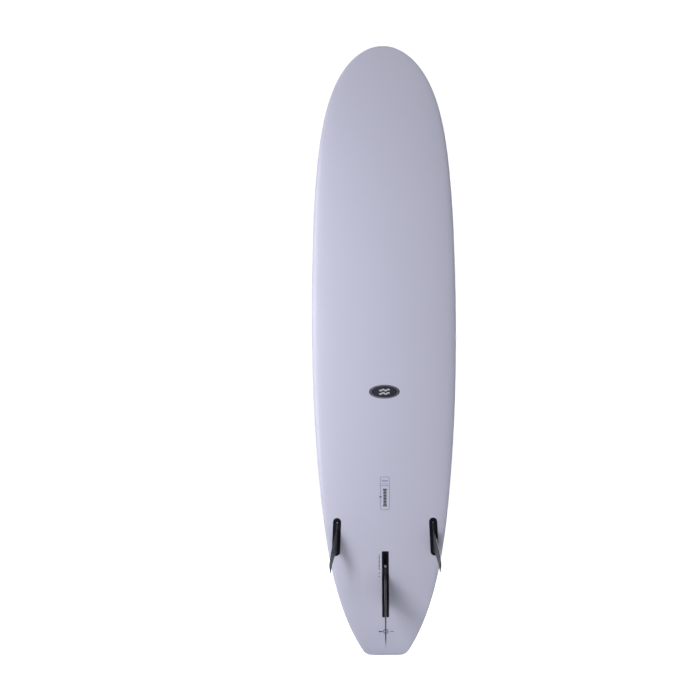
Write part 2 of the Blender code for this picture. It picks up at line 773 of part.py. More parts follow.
def build_leash_plug(board, parts):
    frame = add_empty("plug_frame", board, surface_frame(PLUG_HEIGHT, deck=True))
    foot = -PLUG_CUP_DEPTH - PLUG_WALL
    profile = [
        (0.0, foot),
        (PLUG_BODY_RADIUS - PLUG_EDGE, foot),
        (PLUG_BODY_RADIUS, foot + PLUG_EDGE),
        (PLUG_BODY_RADIUS, -PLUG_FLANGE_DEPTH),
        (PLUG_FLANGE_RADIUS, -PLUG_FLANGE_DEPTH),
        (PLUG_FLANGE_RADIUS, PLUG_PROUD),
        (PLUG_CUP_RADIUS + PLUG_EDGE, PLUG_PROUD),
        (PLUG_CUP_RADIUS, PLUG_PROUD - PLUG_EDGE),
        (PLUG_CUP_RADIUS, -PLUG_CUP_DEPTH + PLUG_FLOOR_BEVEL),
        (PLUG_CUP_RADIUS - PLUG_FLOOR_BEVEL, -PLUG_CUP_DEPTH),
        (0.0, -PLUG_CUP_DEPTH),
    ]
    cup = add_object("leash_plug_cup", turned(profile), frame, "box_plastic")
    across = Matrix.Translation((0.0, 0.0, -PLUG_PIN_DEPTH)) @ Matrix.Rotation(
        math.pi / 2.0, 4, "Y"
    )
    pin_line = add_empty("plug_pin_line", frame, across)
    hole = rod(PLUG_PIN_RADIUS + GAP, -PLUG_FLANGE_RADIUS, PLUG_FLANGE_RADIUS, steps=16)
    cut(cup, add_object("plug_pin_cutter", hole, pin_line))
    pin = rod(PLUG_PIN_RADIUS, -PLUG_PIN_HALF_LENGTH, PLUG_PIN_HALF_LENGTH, steps=16)
    add_object("leash_plug_pin", pin, pin_line, "stainless")

    insert = rod(PLUG_INSERT_RADIUS, -PLUG_INSERT_DEPTH, OVERCUT, steps=32)
    insert = add_object("leash_plug_insert", insert, frame, "insert_foam")
    combine(insert, "INTERSECT", parts["inner_hull"])
    bore = rod(PLUG_BODY_RADIUS + GAP, foot - GAP, OVERCUT, steps=32)
    cut(insert, add_object("plug_bore_cutter", bore, frame))
    rim = rod(PLUG_FLANGE_RADIUS + GAP, -PLUG_FLANGE_DEPTH - 2.0 * SKIN, OVERCUT, steps=32)
    cut(parts["deck_skin"], add_object("plug_rim_cutter", rim, frame))
    puck = rod(PLUG_INSERT_RADIUS + GAP, -PLUG_INSERT_DEPTH - GAP, OVERCUT, steps=32)
    puck = add_object("plug_insert_pocket", puck, frame)
    for name in ("core_left", "core_right", "stringer"):
        cut(parts[name], puck)


def centre_on_floor(board):
    """Moves the board so that its box is centred on the z axis and stands on z = 0."""
    bpy.context.view_layer.update()
    graph = bpy.context.evaluated_depsgraph_get()
    corners = []
    for obj in bpy.data.objects:
        if obj.type != "MESH" or obj.hide_render:
            continue
        shown = obj.evaluated_get(graph)
        corners += [shown.matrix_world @ v.co for v in shown.data.vertices]
    points = np.array(corners)
    low, high = points.min(axis=0), points.max(axis=0)
    middle = (low + high) / 2.0
    board.location = (-middle[0], -middle[1], -low[2])
    bpy.context.view_layer.update()


def main():
    clear_scene()
    board = add_empty("board")
    parts = build_board(board)
    frame = build_centre_box(board, parts)
    build_centre_fin(frame)
    for name, side in (("left", -1), ("right", 1)):
        build_side_box(board, parts, name, side)
    build_leash_plug(board, parts)
    centre_on_floor(board)


main()
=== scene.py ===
import json
import math

import bmesh
import bpy
import numpy as np
from mathutils import Matrix, Vector
from mathutils.bvhtree import BVHTree


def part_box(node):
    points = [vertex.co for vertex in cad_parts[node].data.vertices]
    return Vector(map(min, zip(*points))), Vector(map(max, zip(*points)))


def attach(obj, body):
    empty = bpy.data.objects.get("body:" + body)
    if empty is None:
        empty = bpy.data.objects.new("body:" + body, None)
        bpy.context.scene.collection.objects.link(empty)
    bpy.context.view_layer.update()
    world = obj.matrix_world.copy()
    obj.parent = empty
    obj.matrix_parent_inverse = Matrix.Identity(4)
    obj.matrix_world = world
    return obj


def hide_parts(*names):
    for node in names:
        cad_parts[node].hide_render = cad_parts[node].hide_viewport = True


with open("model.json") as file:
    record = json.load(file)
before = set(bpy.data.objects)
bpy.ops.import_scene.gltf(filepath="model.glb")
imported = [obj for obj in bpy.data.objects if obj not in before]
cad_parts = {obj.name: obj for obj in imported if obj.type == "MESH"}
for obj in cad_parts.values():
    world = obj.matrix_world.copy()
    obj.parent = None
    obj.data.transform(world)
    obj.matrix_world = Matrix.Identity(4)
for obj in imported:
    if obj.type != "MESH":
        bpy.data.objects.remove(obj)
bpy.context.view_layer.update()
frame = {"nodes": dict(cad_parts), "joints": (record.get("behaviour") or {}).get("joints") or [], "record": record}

# The looks of an 8 ft longboard that stands on its tail: the deck faces -Y, the bottom and the fins +Y, and
# +Z runs from the tail to the nose. Lengths are in metres. Every piece's points are in the row's frame, and
# fittings are laid out first in a frame of their own: x across, y towards the nose, z out of the board.

# The gap between neighbouring parts
GAP = 0.0003

# The board's shape, which repeats the frame's own
LENGTH = 2.438
HALF_WIDTH = 0.2828
WIDE_POINT = 1.309
NOSE_TAPER = 0.388
NOSE_ROUNDNESS = 5.6
NOSE_FULLNESS = 0.537
TAIL_TAPER = 0.404
TAIL_PULL = 0.3185
TAIL_SHARPNESS = 7
TAIL_CORNER = 0.036
TAIL_SQUARENESS = 5.5
THICKNESS = 0.074
THICK_POINT = 1.1
NOSE_THINNING = (0.0264, 0.0254)
TAIL_THINNING = (0.0365, 0.0096)
LOW_POINT = 1.05
NOSE_ROCKER = (0.0528, 0.0660)
TAIL_ROCKER = (0.0507, 0.0218)
EDGE_ROUND = 0.013
APEX_FROM_BOTTOM = 0.40
DECK_CROWN = 2.5
BOTTOM_FLATNESS = 7.0
SKIN = 0.002

# Loft density: (steps in each end zone, steps between them, points round a section), and how many times a
# point steps towards the bottom's surface
END_ZONE = 0.30
END_CROWDING = 2.4
OUTER_LOFT = (36, 100, 160)
INNER_LOFT = (14, 30, 64)
FLUSH_ROUNDS = 4

# Centre fin box
CENTRE_BOX_HALF = (0.0135, 0.1335)
CENTRE_BOX_DEPTH = 0.026
CENTRE_BOX_CORNER = 0.003
SLOT_HALF = (0.0049, 0.125)
SLOT_DEPTH = 0.020
GROOVE_HALF_WIDTH = 0.0076
GROOVE_TOP = -0.008
GROOVE_FLOOR = -0.013
NOTCH_CENTRE = -0.045
NOTCH_HALF_LENGTH = 0.007

# Centre fin and what clamps it. The screw's head is a dome on an upright rim, a share of the head's height
CENTRE_FIN_BASE = (-0.078, 0.062)
CENTRE_FIN_BASE_DEPTH = 0.017
CENTRE_FIN_BASE_TOP = -0.0006
CENTRE_FIN_BASE_HALF = 0.00455
CENTRE_FIN_ROOT = 0.0092
TAB_FRONT = 0.080
TAB_TOP = -0.0052
TAB_BOTTOM = -0.0077
TAB_HOLE_RADIUS = 0.0024
CENTRE_SCREW_Y = 0.072
CENTRE_SCREW_RADIUS = 0.0020
SCREW_HEAD_RADIUS = 0.0042
SCREW_HEAD_TOP = -0.0020
CENTRE_SCREW_END = -0.016
CENTRE_SCREW_POINT = 0.0012
SCREW_HEAD_RIM = 0.45
SCREW_HEAD_TURN = math.radians(84.0)
SCREW_HEAD_STEPS = 10
RECESS_HALF = (0.00045, 0.0021)
RECESS_TAPER = (0.8, 0.7)
RECESS_DEPTH = 0.0016
PLATE_HALF = (0.0072, 0.0065)
PLATE_TOP = -0.00835
PLATE_THICKNESS = 0.0035
PIN_Y = -0.070
PIN_Z = -0.0105
PIN_RADIUS = 0.0021
PIN_HALF_LENGTH = 0.0072

# Side fin boxes, fins and screws
SIDE_BOX_HALF = (0.0158, 0.0752)
SIDE_BOX_DEPTH = 0.019
SIDE_SLOT_HALF_WIDTH = 0.0042
SIDE_SLOT_ENDS = (-0.0655, 0.0505)
SIDE_SLOT_DEPTH = 0.014
BOSS_RADIUS = 0.0056
BOSS_DEPTH = 0.0012
BOSS_FLARE = 0.0025
SIDE_TAB_ENDS = (-0.064, 0.0495)
SIDE_TAB_HALF = 0.0038
SIDE_TAB_DEPTH = 0.0127
SIDE_TAB_TOP = -0.0006
SIDE_FIN_ROOT = 0.0072
SIDE_FIN_LEAN = math.radians(4.0)
SIDE_SCREW_Y = 0.0578
SIDE_SCREW_Z = -0.0014
SIDE_SCREW_LEAN = math.radians(25.0)
SIDE_SCREW_RADIUS = 0.0025
SIDE_SCREW_LENGTH = 0.012
SIDE_SCREW_BEVEL = 0.0006
SOCKET_RADIUS = 0.0015
SOCKET_DEPTH = 0.0025

# Leash plug
PLUG_FLANGE_RADIUS = 0.0153
PLUG_FLANGE_DEPTH = 0.0017
PLUG_PROUD = 0.0003
PLUG_BODY_RADIUS = 0.0126
PLUG_CUP_RADIUS = 0.0108
PLUG_CUP_DEPTH = 0.017
PLUG_WALL = 0.0018
PLUG_FLOOR_BEVEL = 0.003
PLUG_EDGE = 0.0009
PLUG_PIN_DEPTH = 0.006
PLUG_PIN_RADIUS = 0.00215
PLUG_PIN_HALF_LENGTH = 0.0122

# Small edges, and where a rounded corner's middle lies as a share of its radius
EDGE = 0.0004
FINE_EDGE = 0.0002
ROUND_OFF = 0.3
OVERCUT = 0.010
SHARP = math.radians(35.0)

# Fin outlines in their box's frame, as (y, z) anchors with the handles of the curves between them
CENTRE_FIN = {
    "front": (0.0440, 0.0),
    "front_handle": (0.0160, 0.0720),
    "top": (-0.1530, 0.1850),
    "top_handles": (0.0818, 0.0303),
    "back": (-0.1950, 0.1652),
    "back_handles": (0.0058, 0.0104),
    "heel": (-0.1750, 0.1496),
    "heel_handles": ((-0.0070, 0.0041), (0.0686, -0.0238)),
    "rear": (-0.0815, 0.0),
    "rear_handle": (-0.0680, 0.0600),
}
SIDE_FIN = {
    "front": (0.0312, 0.0),
    "front_handle": (0.0010, 0.0620),
    "top": (-0.0934, 0.1108),
    "top_handles": (0.0443, 0.0177),
    "back": (-0.1182, 0.0983),
    "back_handles": (0.0028, 0.0030),
    "heel": (-0.1111, 0.0907),
    "heel_handles": ((-0.0020, 0.0034), (0.0265, -0.0158)),
    "rear": (-0.0635, 0.0),
    "rear_handle": (-0.0580, 0.0344),
}
CURVE_STEPS = 26
ROW_SPACING = 0.0007
FOIL_STEPS = 26
FIN_TIP_THICKNESS = 0.0042
FIN_TAPER = 0.7
FIN_FATTEST = 0.26
FIN_SUNK = 0.004
FIN_TIP_ROUND = 0.0035
FIN_TIP_ROWS = 6

# The prints: how far they stand on the laminate, alone or under or over another, and reach into it
PRINT_PROUD = 0.00016
UNDERPRINT_PROUD = 0.6 * PRINT_PROUD
OVERPRINT_PROUD = 2.0 * PRINT_PROUD
PRINT_SUNK = 0.00015
PRINT_STEP = 0.004

# The lattice near the tail's rails: lines up and across from each of its nodes, which close up towards the
# tail. The inner limit is one curve: its start, two handles and end as (x, z).
NET_TOP = 0.410
NET_PITCH = 0.053
NET_CLOSING = 0.0046
NET_FINEST = 0.0060
NET_WIDTH = 0.0027
NET_START = math.radians(-33.0)
NET_BEND = 0.025
NET_STEP = 0.003
RAIL_POINTS = 70
NET_INNER = ((0.0715, 0.100), (0.100, 0.150), (0.108, 0.440), (0.208, 0.450))
PATCH_TOP = 0.088
PATCH_LOW = 0.050
PATCH_RISE = (0.018, 0.010)
PATCH_DROP = 0.029
PATCH_ROWS = 24
PATCH_COLUMNS = 40

# The other prints. Bars are (short, long, height), a border (share of the badge, width), label heads
# (height above the divider, height), the tick (width, height) and the emblem's bars (x, width, height)
STRINGER_LINE = 0.0033
LINE_ENDS = 0.004
LINE_GAP = (0.018, 0.030)
BADGE_HALF = (0.0600, 0.0268)
BADGE_BORDER = (0.89, 0.0010)
BADGE_RINGS = 6
BADGE_STEPS = 72
WAVE_ROWS = (-0.0066, 0.0066)
WAVE_REACH = 0.0200
WAVE_HEIGHT = 0.0026
WAVE_WIDTH = 0.0055
WAVE_POINTS = 41
DECK_BADGE_Z = 1.042
BOTTOM_BADGE_Z = 1.0515
LABEL_HALF_WIDTH = 0.0175
LABEL_ENDS = (0.5895, 0.7185)
LABEL_CORNER = 0.007
LABEL_DIVIDER = 0.6845
LABEL_LINE = 0.0022
LABEL_HEADS = ((0.0070, 0.0018), (0.0185, 0.0052))
LABEL_HEAD_LENGTH = 0.023
LABEL_ROWS = (0.6046, 0.6696)
LABEL_ROW_COUNT = 12
LABEL_BARS = (0.0125, 0.0165, 0.0044)
LABEL_TICK = (0.0088, 0.0044)
SCALE_X = 0.0239
SCALE_ENDS = (0.354, 0.411)
SCALE_DOTS = (0.339, 0.325)
SCALE_DOT = 0.0021
SCALE_TICKS = 12
SCALE_LONG_EVERY = 3
SCALE_BARS = (0.0030, 0.0046, 0.0036)
EMBLEM_Z = 0.1014
EMBLEM_RING = (0.0085, 0.0030)
EMBLEM_STEPS = 40
EMBLEM_HUB = 0.42
EMBLEM_BARS = ((0.0205, 0.0150, 0.0042), (-0.0245, 0.0150, 0.0020))
PLUG_MARKS = 18
PLUG_MARK_RADII = (0.0200, 0.0255)

# Colours, and the shares of noise between which a look runs from one value to the other
LAMINATE_COLOUR = (0.588, 0.594, 0.742)
FIN_COLOUR = (0.012, 0.013, 0.019)
BOX_COLOUR = (0.0030, 0.0036, 0.0105)
STEEL_COLOUR = (0.56, 0.56, 0.57)
BRASS_COLOUR = (0.74, 0.54, 0.24)
BEAD_FOAM_COLOURS = ((0.90, 0.91, 0.92), (0.70, 0.71, 0.73))
DENSE_FOAM_COLOUR = (0.62, 0.55, 0.36)
WOOD_COLOURS = ((0.42, 0.26, 0.13), (0.66, 0.47, 0.27))
INKS = {
    "print_grey": (0.27, 0.29, 0.42),
    "print_blue": (0.29, 0.33, 0.50),
    "print_dark": (0.014, 0.015, 0.030),
    "print_pale": (0.55, 0.56, 0.62),
}
NOISE_SPAN = (0.3, 0.7)
SHEEN_ROUGHNESS = 0.35

# Where a mix node keeps its two colours and its result
MIX_COLOURS = (6, 7)
MIX_RESULT = 2

# The cloth under the paint: a radian of its waves, and the wave texture's radians to a unit of scale
WEAVE_RADIAN = 0.0016
TEXTURE_RADIANS = 20.0

# The room's light on the board, and how bright the room and the floor look
ROOM_LIGHT = 0.17
ROOM_SEEN = 1.05
FLOOR_GLOW = (0.86, 0.86, 0.86, 1.0)
FLOOR_COLOUR = (0.92, 0.92, 0.92, 1.0)
FLOOR_ROUGHNESS = 0.9
FLOOR_REACH = 30.0

# Lights: name, place, the point it faces, size and power in watts
LIGHTS = (
    ("key", (1.15, 1.20, 1.42), (0.0, 0.0, 1.32), (0.34, 2.3), 26.0),
    ("deck_key", (-1.15, -1.25, 1.42), (0.0, 0.0, 1.32), (0.34, 2.3), 26.0),
    ("overhead", (0.0, 0.0, 3.5), (0.0, 0.0, 0.0), (3.0, 3.0), 15.0),
    ("fill", (-3.0, 0.0, 1.4), (0.0, 0.0, 1.2), (2.0, 2.4), 12.0),
    ("fill", (3.0, 0.0, 1.4), (0.0, 0.0, 1.2), (2.0, 2.4), 12.0),
)

# The picture: the camera looks along -Y at the bottom of the board
CAMERA_AWAY = 4.0
CAMERA_HEIGHT = 1.2143
CAMERA_LENS = 52.73
CAMERA_SHIFT = -0.0488
CAMERA_ROLL = math.radians(0.32)


# ---- the board's shape


def swell(u, amounts, power=6):
    broad, sharp = amounts
    return broad * u**2 + sharp * u**power


def quarter_round(t, power=2.0):
    """Rises from 0 to 1 as t does, along a quarter of an ellipse, or a squarer curve for a higher power."""
    return max(1.0 - (1.0 - min(t, 1.0)) ** power, 0.0) ** (1.0 / power)


def half_width(z):
    """Half the board's width at a height z above the tail."""
    if z >= WIDE_POINT:
        u = (z - WIDE_POINT) / (LENGTH - WIDE_POINT)
        left = 1.0 - NOSE_TAPER * u**2 - (1.0 - NOSE_TAPER) * u**NOSE_ROUNDNESS
        return HALF_WIDTH * max(left, 0.0) ** NOSE_FULLNESS
    u = (WIDE_POINT - z) / WIDE_POINT
    width = HALF_WIDTH * (1.0 - swell(u, (TAIL_TAPER, TAIL_PULL), TAIL_SHARPNESS))
    return width * quarter_round(z / TAIL_CORNER, TAIL_SQUARENESS)


def thickness(z):
    if z >= THICK_POINT:
        return THICKNESS - swell((z - THICK_POINT) / (LENGTH - THICK_POINT), NOSE_THINNING)
    return THICKNESS - swell((THICK_POINT - z) / THICK_POINT, TAIL_THINNING)


def bottom(z):
    """The bottom at the centre line, from the level of its low point."""
    if z >= LOW_POINT:
        return -swell((z - LOW_POINT) / (LENGTH - LOW_POINT), NOSE_ROCKER)
    return -swell((LOW_POINT - z) / LOW_POINT, TAIL_ROCKER)


def half_height(z, deck, inset=0.0):
    """The height from the rail's widest line to the deck or to the bottom, rounded off at both ends."""
    share = 1.0 - APEX_FROM_BOTTOM if deck else APEX_FROM_BOTTOM
    ends = quarter_round(z / EDGE_ROUND) * quarter_round((LENGTH - z) / EDGE_ROUND)
    return (share * thickness(z) - inset) * ends


JOINTS = {joint["name"]: joint for joint in frame["joints"]}


def fitting_frame(origin, along, out):
    """A fitting's frame from its directions to the nose and out of the board."""
    axes = Matrix((along.cross(out), along, out)).transposed()
    return Matrix.Translation(origin) @ axes.to_4x4()


def side_frame(name):
    screw = JOINTS[f"{name}_screw_turn"]
    out = Vector(JOINTS[f"{name}_fin_lift"]["axis"])
    line = Vector(screw["axis"])
    along = (line - math.cos(SIDE_SCREW_LEAN) * out) / math.sin(SIDE_SCREW_LEAN)
    origin = Vector(screw["pos_m"]) - SIDE_SCREW_Y * along - SIDE_SCREW_Z * out
    return fitting_frame(origin, along, out)


def centre_frame():
    screw = JOINTS["center_screw_turn"]
    along = Vector(JOINTS["center_fin_slide"]["axis"])
    origin = Vector(screw["pos_m"]) - CENTRE_SCREW_Y * along
    return fitting_frame(origin, along, Vector(screw["axis"]))


def plug_frame():
    rim = next(m for m in frame["record"]["mounts"] if m["name"] == "leash_plug_rim")
    out = Vector(rim["axis"])
    low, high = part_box("leash_plug_pin")
    origin = (low + high) / 2.0 + PLUG_PIN_DEPTH * out
    return fitting_frame(origin, out.cross(Vector((1.0, 0.0, 0.0))), out)


CENTRE = centre_frame()
LEFT = side_frame("left")
RIGHT = side_frame("right")
PLUG = plug_frame()
QUARTER_TURN = Matrix.Rotation(math.pi / 2.0, 4, "Y")
BOARD_Y = CENTRE.translation.y - bottom(CENTRE.translation.z)


def rail_level(z):
    """The y of the rail's widest line."""
    return BOARD_Y + bottom(z) - APEX_FROM_BOTTOM * thickness(z)


def section(z, angles, inset=0.0):
    """The x and y of points round a section. Angle 0 is the right rail's widest line, a quarter turn the
    middle of the deck and minus a quarter turn the middle of the bottom."""
    across, rise = np.cos(angles), np.sin(angles)
    power = np.where(rise > 0.0, DECK_CROWN, BOTTOM_FLATNESS)
    reach = (np.abs(across) ** power + np.abs(rise) ** power) ** (-1.0 / power)
    height = np.where(rise > 0.0, half_height(z, True, inset), half_height(z, False, inset))
    middle = rail_level(z)
    x = half_width(z) * (1.0 - inset / HALF_WIDTH) * reach * across
    return x, middle - height * reach * rise


def bottom_level(x, z):
    """The y of the bottom's surface."""
    bulge = (1.0 - (abs(x) / half_width(z)) ** BOTTOM_FLATNESS) ** (1.0 / BOTTOM_FLATNESS)
    return rail_level(z) + half_height(z, False) * bulge


def ring_faces(rings, count, first=0):
    """The faces between closed rings of `count` points each, numbered from the first."""
    faces = []
    for start in range(first, first + (rings - 1) * count, count):
        for k in range(count):
            here, beside = start + k, start + (k + 1) % count
            faces.append((here, here + count, beside + count, beside))
    return faces


def hull(loft_density, inset=0.0):
    """The vertices and faces of the board's outer form, set in by the inset."""
    end_steps, middle_steps, around = loft_density
    ends = [END_ZONE * (k / end_steps) ** END_CROWDING for k in range(1, end_steps + 1)]
    span = LENGTH - 2.0 * END_ZONE
    middle = [END_ZONE + span * k / middle_steps for k in range(1, middle_steps)]
    levels = ends + middle + [LENGTH - z for z in reversed(ends)]
    angles = np.arange(around) * math.tau / around
    verts = []
    for z in levels:
        x, y = section(z, angles, inset)
        along = inset + (LENGTH - 2.0 * inset) * z / LENGTH
        verts += [(x[k], y[k], along) for k in range(around)]
    faces = ring_faces(len(levels), around)
    for z, first in ((0.0, 0), (LENGTH, len(verts) - around)):
        tip = len(verts)
        verts.append((0.0, section(z, np.zeros(1))[1][0], min(max(z, inset), LENGTH - inset)))
        faces += [(first + k, first + (k + 1) % around, tip) for k in range(around)]
    return verts, faces


HULL = BVHTree.FromPolygons(*hull(OUTER_LOFT))


# ---- solids


def solid(name, verts, faces, place=None):
    """A closed mesh, from points given in the frame `place`."""
    mesh = bpy.data.meshes.new(name)
    points = [place @ Vector(p) for p in verts] if place else verts
    mesh.from_pydata(points, [], faces)
    bm = bmesh.new()
    bm.from_mesh(mesh)
    bmesh.ops.recalc_face_normals(bm, faces=bm.faces)
    bm.to_mesh(mesh)
    bm.free()
    obj = bpy.data.objects.new(name, mesh)
    bpy.context.scene.collection.objects.link(obj)
    return obj


def lofted(name, rings, place=None):
    """A closed solid through rings of equally many points, capped at both ends."""
    count = len(rings[0])
    verts = [p for ring in rings for p in ring]
    faces = ring_faces(len(rings), count)
    last = len(verts) - count
    faces += [tuple(range(count)), tuple(range(last, last + count))]
    return solid(name, verts, faces, place)


def circle(radius, steps):
    turns = [math.tau * k / steps for k in range(steps)]
    return [(radius * math.cos(a), radius * math.sin(a)) for a in turns]


def turned(name, profile, place=None, steps=64):
    """A solid turned about z from (radius, z) points, the first and last of them on its flat ends' edges."""
    return lofted(name, [[(x, y, z) for x, y in circle(r, steps)] for r, z in profile], place)


def rounded(half_x, low_y, high_y, radius, inset=0.0, corner_steps=8, side_steps=24):
    """A rectangle with round corners, always with the same number of points."""
    half_x, low_y, high_y = half_x - inset, low_y + inset, high_y - inset
    radius = min(max(radius - inset, FINE_EDGE), half_x - FINE_EDGE)
    corners = ((1, 1), (-1, 1), (-1, -1), (1, -1))
    points = []
    for quarter, (sx, sy) in enumerate(corners):
        centre = Vector((sx * (half_x - radius), (high_y if sy > 0 else low_y) - sy * radius))
        for k in range(corner_steps + 1):
            angle = math.pi / 2.0 * (quarter + k / corner_steps)
            points.append(centre + radius * Vector((math.cos(angle), math.sin(angle))))
        if quarter in (1, 3):
            start, end = points[-1], Vector((points[-1].x, high_y if sy < 0 else low_y))
            end.y += -radius if sy < 0 else radius
            points += [start.lerp(end, k / side_steps) for k in range(1, side_steps)]
    return [(p.x, p.y) for p in points]


def raised(outline, z):
    return [(x, y, z) for x, y in outline]


def flush(outline, place, drop=0.0):
    """A ring of points on the bottom's surface, or below it by the drop, in the frame `place`."""
    out = place.col[2].xyz
    ring = []
    for x, y in outline:
        z = 0.0
        for _ in range(FLUSH_ROUNDS):
            point = place @ Vector((x, y, z))
            z += (bottom_level(point.x, point.z) - point.y) / out.y
        ring.append((x, y, z - drop))
    return ring


def block(name, half_x, ends, levels, place, bevel=EDGE):
    """A box with bevelled edges."""
    low, high = levels
    rings = [
        raised(rounded(half_x, *ends, bevel, bevel), low),
        raised(rounded(half_x, *ends, bevel), low + bevel),
        raised(rounded(half_x, *ends, bevel), high - bevel),
        raised(rounded(half_x, *ends, bevel, bevel), high),
    ]
    return lofted(name, rings, place)


def combine(target, operation, *others):
    """Applies Booleans to the target and removes the solids they used."""
    for other in others:
        step = target.modifiers.new(other.name, "BOOLEAN")
        step.operation = operation
        step.solver = "EXACT"
        step.object = other
    graph = bpy.context.evaluated_depsgraph_get()
    worked = bpy.data.meshes.new_from_object(target.evaluated_get(graph))
    target.modifiers.clear()
    target.data = worked
    for other in others:
        bpy.data.objects.remove(other, do_unlink=True)


def dress(obj, look, body, *replaced, slot=None):
    """Gives a piece its material, its shading and its place in the frame."""
    obj.data.materials.clear()
    obj.data.materials.append(LOOKS[look])
    obj.data.shade_smooth()
    obj.data.set_sharp_from_angle(angle=SHARP)
    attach(obj, body)
    if replaced:
        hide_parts(*replaced)


# ---- fins


def bezier(start, start_handle, end_handle, end, steps=CURVE_STEPS):
    t = np.linspace(0.0, 1.0, steps)[:, None]
    points = np.array((start, start_handle, end_handle, end))
    weights = np.hstack(((1 - t) ** 3, 3 * (1 - t) ** 2 * t, 3 * (1 - t) * t**2, t**3))
    return weights @ points


def fin_edges(fin):
    """The leading and the trailing edge as (y, z) points, both from the root to the top."""
    top, back, heel = (np.array(fin[k]) for k in ("top", "back", "heel"))
    top_front, top_back = fin["top_handles"]
    back_up, back_down = fin["back_handles"]
    heel_back, heel_front = (heel + np.array(h) for h in fin["heel_handles"])
    leading = bezier(fin["front"], fin["front_handle"], top + (top_front, 0.0), top)
    rear_edge = bezier(fin["rear"], fin["rear_handle"], heel_front, heel)
    heel_edge = bezier(heel, heel_back, back - (0.0, back_down), back)
    back_edge = bezier(back, back + (0.0, back_up), top - (top_back, 0.0), top)
    return leading, np.vstack((rear_edge, heel_edge[1:], back_edge[1:]))


def foil(s):
    """Half the thickness at the share s of the chord, over the full thickness (NACA four-digit)."""
    terms = (0.2969 * math.sqrt(s), -0.1260 * s, -0.3516 * s**2, 0.2843 * s**3, -0.1036 * s**4)
    return 5.0 * sum(terms)


def fin_rows(leading, trailing, depth):
    """Heights for a blade's sections, which follow the points of both edges and crowd at the top."""
    top = depth - FIN_TIP_ROUND
    rows = [0.0]
    for height in sorted([*leading[:, 1], *trailing[:, 1]]):
        if height - rows[-1] > ROW_SPACING and height < top:
            rows.append(float(height))
    turns = [math.pi / 2.0 * (k + 0.5) / FIN_TIP_ROWS for k in range(FIN_TIP_ROWS)]
    return rows + [top + FIN_TIP_ROUND * math.sin(a) for a in turns]


def fin_section(front, rear, full, flat_side, flat_x):
    """A blade's section as (x, y) points, down one face and back up the other, with thin round edges."""
    near, far = [], []
    for k in range(FOIL_STEPS + 1):
        s = 0.5 * (1.0 - math.cos(math.pi * k / FOIL_STEPS))
        from_edge = min(s, 1.0 - s) * (front - rear)
        half = max(full * foil(s), EDGE) * quarter_round(from_edge / (2.0 * EDGE))
        y = front + (rear - front) * s
        near.append((flat_side * flat_x if flat_side else half, y))
        far.append((flat_side * (flat_x - 2.0 * half) if flat_side else -half, y))
    return near + far[-2:0:-1]


def blade(name, fin, root, place, flat_side=0):
    """A foiled blade: symmetric, or flat on the side of its +x (1) or -x (-1) and leaning away from it."""
    leading, trailing = fin_edges(fin)
    depth = fin["top"][1]
    rings = []
    for row in [-FIN_SUNK, *fin_rows(leading, trailing, depth)]:
        height = max(row, 0.0)
        front = np.interp(height, leading[:, 1], leading[:, 0])
        rear = np.interp(height, trailing[:, 1], trailing[:, 0])
        left = 1.0 - height / depth
        full = FIN_TIP_THICKNESS + (root - FIN_TIP_THICKNESS) * left**FIN_TAPER
        full = min(full, FIN_FATTEST * (front - rear))
        full *= quarter_round((depth - height) / FIN_TIP_ROUND)
        lean = -flat_side * math.tan(SIDE_FIN_LEAN) * height
        section = fin_section(front, rear, full, flat_side, root / 2.0)
        rings.append([(x + lean, y, row) for x, y in section])
    return lofted(name, rings, place)


# ---- fittings


def build_laminate():
    """The skin of the board, hollow, with openings for the fin boxes and the leash plug."""
    skin = solid("board_laminate", *hull(OUTER_LOFT))
    centre = rounded(*spans(CENTRE_BOX_HALF, GAP), CENTRE_BOX_CORNER + GAP)
    side = rounded(*spans(SIDE_BOX_HALF, GAP), SIDE_BOX_HALF[0] + GAP)
    reach = (-3.0 * SKIN, OVERCUT)
    cutters = [solid("hollow", *hull(INNER_LOFT, SKIN))]
    for name, outline, place in (("centre", centre, CENTRE), ("left", side, LEFT), ("right", side, RIGHT)):
        cutters.append(lofted(f"{name}_pocket", [raised(outline, z) for z in reach], place))
    cutters.append(turned("plug_pocket", [(PLUG_FLANGE_RADIUS + GAP, z) for z in reach], PLUG))
    combine(skin, "DIFFERENCE", *cutters)
    dress(skin, "gloss_laminate", "board", "deck_skin", "bottom_skin")


def spans(half, gap=0.0):
    """Half a width and the two ends of an outline, let out by the gap."""
    half_x, half_y = half
    return half_x + gap, -half_y - gap, half_y + gap


def box_rings(outer, slot, depth, place):
    """A fin box's rings from its foot up to the bottom's surface and down into its slot's mouth."""
    return [
        raised(rounded(*outer, EDGE), -depth),
        raised(rounded(*outer), EDGE - depth),
        flush(rounded(*outer), place, EDGE),
        flush(rounded(*outer, EDGE), place),
        flush(rounded(*slot, -EDGE), place),
        flush(rounded(*slot), place, EDGE),
    ]


